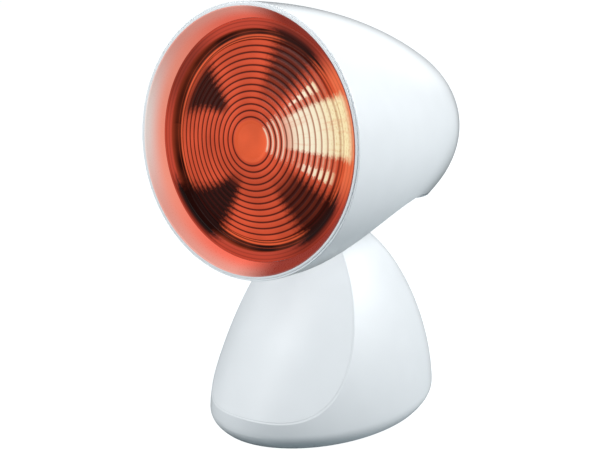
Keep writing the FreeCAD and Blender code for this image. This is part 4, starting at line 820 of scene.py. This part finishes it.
def housing_paths(head, inset=0.0, samples=(52, 22, 16)):
    """The housing's three arcs from front to apex, drawn in by inset."""
    flank_end = head.lead + head.flank_turn
    end = flank_end + head.shoulder_turn
    flank = (head.rim_radius - head.flank_arc * math.cos(head.lead), head.flank_arc * math.sin(head.lead))
    step = head.flank_arc - head.shoulder_arc
    shoulder = (flank[0] + step * math.cos(flank_end), flank[1] - step * math.sin(flank_end))
    nose_arc = (shoulder[0] + head.shoulder_arc * math.cos(end)) / math.cos(end)
    nose = (0.0, shoulder[1] + (nose_arc - head.shoulder_arc) * math.sin(end))
    path = arc(flank, head.flank_arc - inset, head.lead, flank_end, samples[0])
    path += arc(shoulder, head.shoulder_arc - inset, flank_end, end, samples[1])[1:]
    path += arc(nose, nose_arc - inset, end, math.pi / 2, samples[2])[1:]
    path[-1] = (0.0, path[-1][1])
    return path


def arch_cutter(head):
    """A cylinder across the head about the arch's centre."""
    place = head_matrix(head) @ Matrix.Translation((0.0, -head.arch_drop, -head.arch_depth))
    reach = 1.5 * head.rim_radius
    place @= Matrix.Rotation(math.pi / 2, 4, "Y")
    return cylinder("arch", head.arch_radius, -reach, reach, place, segments=360)


def geometry_tree(name, sizes, counts):
    """A geometry tree with its sockets; sizes and counts are given with their defaults."""
    tree = bpy.data.node_groups.new(name, "GeometryNodeTree")
    finish = {"Material": None}
    for kind, inputs in ((FLOAT, sizes), ("NodeSocketInt", counts), ("NodeSocketMaterial", finish)):
        for label, default in inputs.items():
            socket(tree, kind, label, "INPUT", default)
    socket(tree, "NodeSocketGeometry", "Geometry", "OUTPUT")
    wire = Wiring(tree)
    return tree, wire.add("NodeGroupInput").outputs, wire


def finish_tree(wire, geometry, material):
    """Ends a geometry tree in Realize Instances and Set Material."""
    real = wire.add("GeometryNodeRealizeInstances", Geometry=geometry)
    coated = wire.add("GeometryNodeSetMaterial", Geometry=real.outputs[0], Material=material)
    wire.add("NodeGroupOutput", Geometry=coated.outputs[0])


def slot_tree():
    """Upright slots with round ends that together fill a circle."""
    tree, given, wire = geometry_tree(
        "air_slots", {"Field Radius": 0.02, "Width": 0.0026, "Pitch": 0.0054, "Length": 0.05}, {"Rows": 3})
    field, width, pitch, deep, rows = list(given)[:5]
    first = wire.vector(X=wire.times(rows, pitch, -1.0))
    line = wire.add("GeometryNodeMeshLine", Count=wire.plus(wire.times(rows, 2.0), 1.0), Start_Location=first,
                    Offset=wire.vector(X=pitch)).outputs["Mesh"]
    x = wire.axes(wire.add("GeometryNodeInputPosition").outputs[0])["X"]
    reach = wire.math("SQRT", wire.minus(wire.times(field, field), wire.times(x, x)))
    half = wire.minus(reach, wire.times(width, 0.5))
    cube = wire.add("GeometryNodeMeshCube").outputs["Mesh"]
    size = wire.vector(X=width, Y=wire.times(half, 2.0), Z=deep)
    boxes = wire.add("GeometryNodeInstanceOnPoints", Points=line, Instance=cube, Scale=size)
    joined = wire.add("GeometryNodeJoinGeometry", Geometry=boxes.outputs[0])
    rod = wire.add("GeometryNodeMeshCylinder", Vertices=24, Radius=wire.times(width, 0.5), Depth=deep)
    for sign in (1.0, -1.0):
        to_end = wire.vector(Y=wire.times(half, sign))
        moved = wire.add("GeometryNodeSetPosition", Geometry=line, Offset=to_end).outputs[0]
        ends = wire.add("GeometryNodeInstanceOnPoints", Points=moved, Instance=rod.outputs["Mesh"])
        wire.join(joined, Geometry=ends.outputs[0])
    finish_tree(wire, joined.outputs[0], given["Material"])
    return tree


def grown(name, tree, **values):
    """A plain mesh made by a geometry tree, with its named inputs set."""
    obj = link(bpy.data.objects.new(name, bpy.data.meshes.new(name)))
    change = obj.modifiers.new("grown", "NODES")
    change.node_group = tree
    for item in tree.interface.items_tree:
        label = item.name.replace(" ", "_")
        if item.item_type == "SOCKET" and item.in_out == "INPUT" and label in values:
            change[item.identifier] = values[label]
    return settle(obj)


def ridged_tree():
    """The lens's front: concentric ridges on a shallow dome, as a disc of rings."""
    tree, given, wire = geometry_tree(
        "ridged_disc",
        {"Plain Middle": 0.009, "Pitch": 0.0032, "Rise": 0.00045, "Arc": 0.205, "Depth": 0.004,
         "Outer": 0.0506},
        {"Rings": 170, "Segments": 240})
    grid = wire.add("GeometryNodeMeshGrid", Size_X=1.0, Size_Y=1.0,
                    Vertices_X=wire.plus(given["Segments"], 1.0), Vertices_Y=given["Rings"])
    u, v, _ = wire.axes(wire.add("GeometryNodeInputPosition").outputs[0])
    turn = wire.times(wire.plus(u, 0.5), 2 * math.pi)
    radius = wire.times(wire.plus(v, 0.5), given["Outer"])
    rise = wire.math("SQRT", wire.minus(wire.times(given["Arc"], given["Arc"]), wire.times(radius, radius)))
    dome = wire.minus(rise, wire.plus(given["Arc"], given["Depth"]))
    across = wire.math("DIVIDE", wire.minus(radius, given["Plain Middle"]), given["Pitch"])
    crown = wire.math("ABSOLUTE", wire.math("SINE", wire.times(across, math.pi)))
    crown = wire.times(crown, wire.math("GREATER_THAN", across, 0.0))
    place = wire.vector(X=wire.times(radius, wire.math("COSINE", turn)),
                        Y=wire.times(radius, wire.math("SINE", turn)),
                        Z=wire.plus(dome, wire.times(crown, given["Rise"])))
    moved = wire.add("GeometryNodeSetPosition", Geometry=grid.outputs["Mesh"], Position=place)
    merged = wire.add("GeometryNodeMergeByDistance", Geometry=moved.outputs[0], Distance=MERGE)
    finish_tree(wire, merged.outputs[0], given["Material"])
    return tree


# ---------------------------------------------------------------- the base's shape


def dome_section(base, z):
    """Half width, half depth and middle of the dome at a height."""
    if z < base.belly:
        share = 1 - base.tuck / base.half_width * (1 - z / base.belly) ** 2
        return base.half_width * share, base.half_depth * share, 0.0
    rise = (z - base.belly) / base.dome_height
    share = (1 - rise**base.fullness) ** (1 / base.roundness)
    return base.half_width * share, base.half_depth * share, base.drift * rise


def dome_solid(name, base, inset=0.0, below=0.0, above=0.0, around=200, levels=72):
    """The dome drawn in by inset, from below its lower edge to above its flat top."""
    bottom, top, low_levels = base.floor_gap - below, base.top + above, 6
    low = [bottom + (base.belly - bottom) * i / low_levels for i in range(low_levels)]
    high = [base.belly + (top - base.belly) * i / levels for i in range(levels + 1)]
    loops = []
    for z in low + high:
        half_x, half_y, middle = dome_section(base, z)
        loops.append(loop_at(z, half_x - inset, half_y - inset, around, middle, 0.5))
    return stacked(name, loops, Matrix.Translation(base_place()))


def face_line(base, z, shift):
    """Place of the front face on the middle line at a height."""
    start, end = Vector((base.face_foot, 0.0)), Vector((base.face_head, base.face_span))
    chord = end - start
    rearward = Vector((chord.y, -chord.x)).normalized()
    centre = (start + end) / 2 + rearward * math.sqrt(base.face_arc**2 - chord.length_squared / 4)
    return centre.x - math.sqrt(base.face_arc**2 - (z - centre.y) ** 2) + shift


def front_solid(name, base, shift, across=120, levels=80):
    """All that lies in front of the base's convex face, with the face moved back by shift."""
    side = 1.2 * base.half_width
    loops = []
    for level in range(levels + 1):
        z = base.face_span * level / levels
        line = face_line(base, z, shift)
        loop = []
        for i in range(across + 1):
            x = side * (2 * i / across - 1)
            loop.append((x, line + x * x / (2 * base.face_vertex), z))
        loop += [(side, line - side, z), (-side, line - side, z)]
        loops.append(loop)
    return stacked(name, loops, Matrix.Translation(base_place()))


# ---------------------------------------------------------------- operators


class HEATLAMP_OT_housing(bpy.types.Operator):
    """Builds the egg-shaped housing with its arch and air slots"""

    bl_idname = "heatlamp.housing"
    bl_label = "Housing"
    bl_options = {"REGISTER", "UNDO"}

    def execute(self, context):
        scene = context.scene
        head = scene.heat_lamp_head
        outer = housing_paths(head)[::-1]
        inner = housing_paths(head, head.wall, samples=(30, 12, 10))
        inside = [(r, z) for r, z in inner if z < -head.ledge_depth - head.ledge_wall]
        shelf = next(r for r, z in inner if z < -head.ledge_depth)
        bore = head.rim_radius - head.wall
        path = [(r, z) for r, z in outer if z < -3 * head.rim_round]
        path += softened((
            (*path[-1], 0),
            (head.rim_radius, 0.0, 2 * head.rim_round),
            (head.rim_radius - head.rim_edge, 0.0, head.rim_round),
            (head.rim_radius - head.rim_edge, -head.rebate, 0),
            (bore, -head.rebate, 0),
            (shelf, -head.ledge_depth, 0),
            (head.ledge_inner, -head.ledge_depth, 0),
            (head.ledge_inner, -head.ledge_depth - head.ledge_wall, 0),
            (shelf, -head.ledge_depth - head.ledge_wall, 0),
        ))[1:]
        housing = revolved("housing", path + inside, head_matrix(head), segments=240)
        slots = grown("slots", slot_tree(), Field_Radius=head.vent_radius, Width=head.vent_width,
                      Pitch=head.vent_pitch, Rows=head.vent_rows, Length=head.vent_cut)
        slots.data.transform(head_matrix(head) @ Matrix.Translation((0.0, 0.0, -head.vent_depth)))
        carve(housing, "DIFFERENCE", arch_cutter(head), slots)
        finish_piece(smooth(housing), head_white(scene.heat_lamp_colours), "head_housing")
        return {"FINISHED"}


class HEATLAMP_OT_front_ring(bpy.types.Operator):
    """Builds the ring in the housing's mouth, with its lip and its cone"""

    bl_idname = "heatlamp.front_ring"
    bl_label = "Front ring"
    bl_options = {"REGISTER", "UNDO"}

    def execute(self, context):
        scene = context.scene
        head, ring = scene.heat_lamp_head, scene.heat_lamp_ring
        lip_outer = head.rim_radius - head.rim_edge - ring.groove
        lip_inner = lip_outer - ring.lip_wall
        collar_inner = ring.collar_radius - ring.collar_wall
        cone_height, cone_steps = ring.cone_depth + ring.lip_proud, 8
        cone = [(lip_inner + (ring.cone_foot - lip_inner) * step / cone_steps,
                 ring.lip_proud - cone_height * step / cone_steps, 0) for step in range(1, cone_steps + 1)]
        slope = (lip_inner - ring.cone_foot) / cone_height
        back_of_cone = ring.lip_proud - (lip_inner + ring.cone_wall - collar_inner) / slope
        path = softened((
            (lip_inner + ring.lip_wall / 2, ring.lip_proud, 0),
            (lip_inner, ring.lip_proud, ring.lip_round),
            *cone,
            (ring.cone_foot, -ring.collar_depth, 0),
            (ring.cone_foot + ring.cone_wall, -ring.collar_depth, 0),
            (collar_inner, back_of_cone, 0),
            (collar_inner, -ring.collar_depth, 0),
            (ring.collar_radius, -ring.collar_depth, 0),
            (ring.collar_radius, -head.rebate, 0),
            (lip_outer, -head.rebate, 0),
            (lip_outer, ring.lip_proud, ring.lip_round),
            (lip_inner + ring.lip_wall / 2, ring.lip_proud, 0),
        ))[:-1]
        piece = revolved("front_ring", path, head_matrix(head), segments=300, closed=True)
        finish_piece(smooth(piece), ring_white(head, ring, scene.heat_lamp_colours), "front_ring")
        return {"FINISHED"}


class HEATLAMP_OT_lens(bpy.types.Operator):
    """Builds the ridged red lens of the reflector lamp"""

    bl_idname = "heatlamp.lens"
    bl_label = "Lens"
    bl_options = {"REGISTER", "UNDO"}

    def execute(self, context):
        scene = context.scene
        head, glass = scene.heat_lamp_head, scene.heat_lamp_glass
        segments, rings, back_steps = 240, 159, 16
        tight, soft, wide = 0.0003, 0.0006, 0.001
        outer = glass.ridge_inner + glass.ridges * glass.ridge_pitch
        lens = grown("lens", ridged_tree(), Plain_Middle=glass.ridge_inner, Pitch=glass.ridge_pitch,
                     Rise=glass.ridge_rise, Arc=glass.arc, Depth=glass.depth, Outer=outer, Segments=segments,
                     Rings=rings)

        def dome(radius):
            return math.sqrt(glass.arc**2 - radius**2) - glass.arc - glass.depth

        path = softened((
            (outer, dome(outer), 0),
            (outer + glass.groove_slope, -glass.groove_depth, tight),
            (glass.groove_outer - glass.groove_slope, -glass.groove_depth, soft),
            (glass.groove_outer, -glass.front, soft),
            (glass.radius, -glass.front, glass.edge_bevel),
            (glass.radius, -glass.seam, 0),
            (glass.radius - glass.seam_lap, -glass.seam, 0),
            (glass.groove_outer, -glass.groove_depth - glass.groove_wall, wide),
            (outer, dome(outer) - glass.glass, wide),
        ))
        inwards = (outer * (1 - step / back_steps) for step in range(1, back_steps + 1))
        path += [(radius, dome(radius) - glass.glass) for radius in inwards]
        back = revolved("lens_back", path, Matrix(), segments)
        shape = bmesh.new()
        shape.from_mesh(lens.data)
        shape.from_mesh(back.data)
        discard(back)
        shape.to_mesh(lens.data)
        shape.free()
        clean(lens.data)
        lens.data.transform(head_matrix(head))
        finish_piece(smooth(lens, 60), red_glass(head, glass, scene.heat_lamp_colours), "bulb_lens")
        return {"FINISHED"}


class HEATLAMP_OT_base_shell(bpy.types.Operator):
    """Builds the domed base shell with its recess for the front cover and its seats at the back"""

    bl_idname = "heatlamp.base_shell"
    bl_label = "Base shell"
    bl_options = {"REGISTER", "UNDO"}

    def execute(self, context):
        scene = context.scene
        base = scene.heat_lamp_base
        overlap, slot_below, slot_above = 0.001, 0.006, 0.005
        behind_cover = base.cover_wall + base.cover_gap
        shell = dome_solid("base_shell", base)
        hollow = dome_solid("hollow", base, base.wall, overlap, -base.wall, around=120, levels=40)
        carve(hollow, "DIFFERENCE",
              front_solid("backing", base, behind_cover + base.backing, across=60, levels=40))
        recess = dome_solid("recess", base, base.cover_lip, above=overlap)
        carve(recess, "INTERSECT", front_solid("recess_front", base, behind_cover))
        slot_low = (-base.slot_width, PIVOT.y - base.slot_reach, base.top - slot_below)
        slot_high = (base.slot_width, PIVOT.y + base.slot_reach, base.top + slot_above)
        carve(shell, "DIFFERENCE", hollow, front_solid("front", base, 0.0), recess,
              box("post_slot", slot_low, slot_high), *self.seats())
        finish_piece(smooth(shell, 12), base_white(scene.heat_lamp_colours), "base_body")
        return {"FINISHED"}

    def seats(self):
        """Cutters for the switch's frame and barrel and for the cable bushing's flange and sleeve."""
        rocker = Vector(JOINTS["switch_rocker"]["pos_m"])
        lean, sink = math.radians(15), 0.0006
        out = Vector((0.0, math.cos(lean), math.sin(lean)))
        seat = Matrix.Translation(rocker + out * sink) @ Matrix.Rotation(lean - math.pi / 2, 4, "X")
        low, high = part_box("cable_bushing")
        inlet = Vector(((low[0] + high[0]) / 2, high[1], (low[2] + high[2]) / 2))
        rear = Matrix.Translation(inlet) @ Matrix.Rotation(-math.pi / 2, 4, "X")
        return (
            box("frame_space", low=(-0.0086, -0.0116, 0.0), high=(0.0086, 0.0116, 0.03), place=seat),
            box("barrel_space", low=(-0.0066, -0.0097, -0.014), high=(0.0066, 0.0097, 0.01), place=seat),
            cylinder("flange_space", radius=0.0066, low=-0.0024, high=0.02, place=rear),
            cylinder("sleeve_space", radius=0.0047, low=-0.02, high=0.0, place=rear),
        )


class HEATLAMP_OT_front_cover(bpy.types.Operator):
    """Builds the large convex cover that is let into the front of the base"""

    bl_idname = "heatlamp.front_cover"
    bl_label = "Front cover"
    bl_options = {"REGISTER", "UNDO"}

    def execute(self, context):
        scene = context.scene
        base = scene.heat_lamp_base
        cover = dome_solid("front_cover", base, base.cover_lip + base.cover_gap)
        carve(cover, "INTERSECT", front_solid("cover_back", base, base.cover_wall))
        carve(cover, "DIFFERENCE", front_solid("cover_face", base, 0.0))
        finish_piece(smooth(cover, 12), base_white(scene.heat_lamp_colours), "front_cover")
        return {"FINISHED"}


class HEATLAMP_OT_fittings(bpy.types.Operator):
    """Rounds the edges of the smaller fittings and smooths the turned ones"""

    bl_idname = "heatlamp.fittings"
    bl_label = "Fittings"
    bl_options = {"REGISTER", "UNDO"}

    def execute(self, context):
        scene = context.scene
        head, colours = scene.heat_lamp_head, scene.heat_lamp_colours
        white = base_white(colours)
        black = plastic("switch_black", colours.black, 0.32, grain=2600.0, bump=0.08)
        zinc = metal("zinc_plate", colours.steel, 0.34, stretch=(60.0, 1.0, 1.0))
        steel = metal("bright_steel", colours.steel, 0.25)
        brass = metal("brass", colours.brass, 0.28)
        spun = spun_metal("spun_aluminium", colours.aluminium, 0.3, head)
        porcelain = plastic("porcelain", (0.78, 0.76, 0.7), 0.16, waves=120.0, bump=0.04)
        pieces = (  # node, name, material, bevel, and the angle over which an edge is sharp
            ("pivot_post", "post", white, 0.0005, 40),
            ("underside_cover", "underside_cover", white, 0.0, 30),
            ("switch_housing", "switch_frame", black, 0.0004, 40),
            ("switch_rocker", "rocker", black, 0.0004, 35),
            ("cable_bushing", "bushing", rubber("bushing_rubber", (0.5, 0.5, 0.51)), 0.0004, 40),
            ("tilt_yoke", "yoke", zinc, 0.0002, 40),
            ("bolt_nut", "nut", steel, 0.0002, 25),
            ("tilt_bolt", "bolt", steel, 0.0002, 25),
            ("lampholder", "holder", porcelain, 0.0003, 25),
            ("heat_shield", "shield", spun, 0.0, 30),
            ("bulb_cap", "cap", spun, 0.0002, 25),
        )
        for node, name, material, bevel, limit in pieces:
            finish_piece(settled_copy(node, name, bevel, limit), material, node)
        coats = (
            (steel, "outer_washers", "base_screws", "post_screws", "yoke_screws", "holder_screws",
             "terminal_screws", "filament_posts"),
            (brass, "holder_sleeve", "holder_contact", "bulb_contact", "switch_terminals"),
            (metal("tungsten", (0.28, 0.28, 0.3), 0.4), "bulb_filament"),
            (plastic("washer_grey", (0.3, 0.3, 0.31), 0.5), "friction_washers"),
            (plastic("plate_grey", (0.33, 0.33, 0.34), 0.5, bump=0.1), "base_plate"),
            (plastic("terminal_white", (0.62, 0.6, 0.54), 0.45), "terminal_block"),
            (plastic("insulator_black", (0.012, 0.012, 0.014), 0.12), "bulb_insulator"),
            (spun_metal("silvered_glass", (0.85, 0.85, 0.86), 0.08, head), "bulb_reflector"),
            (rubber("foot_rubber", (0.03, 0.03, 0.03)), "foot_front_right", "foot_front_left",
             "foot_rear_right", "foot_rear_left"),
        )
        for material, *nodes in coats:
            for node in nodes:
                mesh = frame["nodes"][node].data
                mesh.materials.clear()
                mesh.materials.append(material)
        return {"FINISHED"}


def aimed(name, data, target, azimuth, elevation, distance):
    """Places a camera or a light that looks at the target, by two angles and a distance."""
    flat = math.cos(elevation)
    back = Vector((math.sin(azimuth) * flat, -math.cos(azimuth) * flat, math.sin(elevation)))
    obj = link(bpy.data.objects.new(name, data))
    obj.location = target + back * distance
    obj.rotation_euler = back.to_track_quat("Z", "Y").to_euler()
    return obj


class HEATLAMP_OT_stage(bpy.types.Operator):
    """Sets up the floor, the soft studio light and the camera"""

    bl_idname = "heatlamp.stage"
    bl_label = "Stage"
    bl_options = {"REGISTER", "UNDO"}

    def execute(self, context):
        scene = context.scene
        stage = scene.heat_lamp_stage
        floor = link(bpy.data.objects.new("floor", bpy.data.meshes.new("floor")))
        reach = 6.0
        corners = [(-reach, -reach, 0), (reach, -reach, 0), (reach, reach, 0), (-reach, reach, 0)]
        floor.data.from_pydata(corners, [], [(0, 1, 2, 3)])
        pale, shader, place, wire = new_material("floor_pale")
        seen = wire.add("ShaderNodeLightPath").outputs["Is Camera Ray"]
        tint = wire.mix(wire.noise(place, 3.0), (0.19, 0.225, 0.24), (0.2, 0.235, 0.25))
        wire.join(shader, Base_Color=tint, Emission_Color=wire.mix(seen, BLACK, (0.92, 0.92, 0.92)),
                  Emission_Strength=1.0, Roughness=0.9, Specular_IOR_Level=0.0)
        floor.data.materials.append(pale)

        target = Vector((0.0, PIVOT.y + stage.target_back, stage.target_height))
        camera = bpy.data.cameras.new("camera")
        camera.lens = stage.focal
        camera.sensor_width = 36.0
        camera.clip_end = 30.0
        scene.camera = aimed("camera", camera, target, stage.azimuth, stage.elevation, stage.distance)

        world = bpy.data.worlds.new("studio")
        world.use_nodes = True
        wire = Wiring(world.node_tree)
        seen = wire.add("ShaderNodeLightPath").outputs["Is Camera Ray"]
        room = wire.mix(seen, (0.66, 0.86, 1.0), (1.0, 1.0, 1.0))
        wire.join(world.node_tree.nodes["Background"], Color=room,
                  Strength=wire.ramp(seen, 0.0, 1.0, stage.world, 1.0))
        scene.world = world
        scene.view_settings.view_transform = "Standard"

        light_distance = 1.3
        lights = (  # name, azimuth, elevation, size, power, and whether it casts shadows
            ("right", 119.0, 30.0, 0.9, stage.right, True),
            ("front", -12.0, 44.0, 0.9, stage.front, False),
            ("left", -55.0, 18.0, 1.5, stage.left, True),
            ("back", 195.0, 20.0, 0.9, stage.back, True),
        )
        for name, azimuth, elevation, size, power, shadow in lights:
            lamp = bpy.data.lights.new(name, "AREA")
            lamp.shape = "DISK"
            lamp.size = size
            lamp.energy = power
            lamp.use_shadow = shadow
            obj = aimed(name, lamp, target, math.radians(azimuth), math.radians(elevation), light_distance)
            obj.visible_camera = False
        return {"FINISHED"}


OPERATORS = (
    HEATLAMP_OT_stage,
    HEATLAMP_OT_housing,
    HEATLAMP_OT_front_ring,
    HEATLAMP_OT_lens,
    HEATLAMP_OT_base_shell,
    HEATLAMP_OT_front_cover,
    HEATLAMP_OT_fittings,
)


class HEATLAMP_PT_panel(bpy.types.Panel):
    bl_idname = "HEATLAMP_PT_panel"
    bl_label = "Heat lamp"
    bl_space_type = "VIEW_3D"
    bl_region_type = "UI"
    bl_category = "Heat lamp"

    def draw(self, context):
        for operator in OPERATORS:
            self.layout.operator(operator.bl_idname)
        for name in GROUPS:
            column = self.layout.column(align=True)
            for key in getattr(context.scene, name).bl_rna.properties.keys():
                if key not in ("rna_type", "name"):
                    column.prop(getattr(context.scene, name), key)


def register():
    for cls in (*GROUPS.values(), *OPERATORS, HEATLAMP_PT_panel):
        bpy.utils.register_class(cls)
    for name, cls in GROUPS.items():
        setattr(bpy.types.Scene, name, PointerProperty(type=cls))


def unregister():
    for name in GROUPS:
        delattr(bpy.types.Scene, name)
    for cls in (HEATLAMP_PT_panel, *reversed(OPERATORS), *reversed(GROUPS.values())):
        bpy.utils.unregister_class(cls)


def main():
    register()
    for operator in OPERATORS:
        space, name = operator.bl_idname.split(".")
        getattr(getattr(bpy.ops, space), name)()


if __name__ == "__main__":
    main()
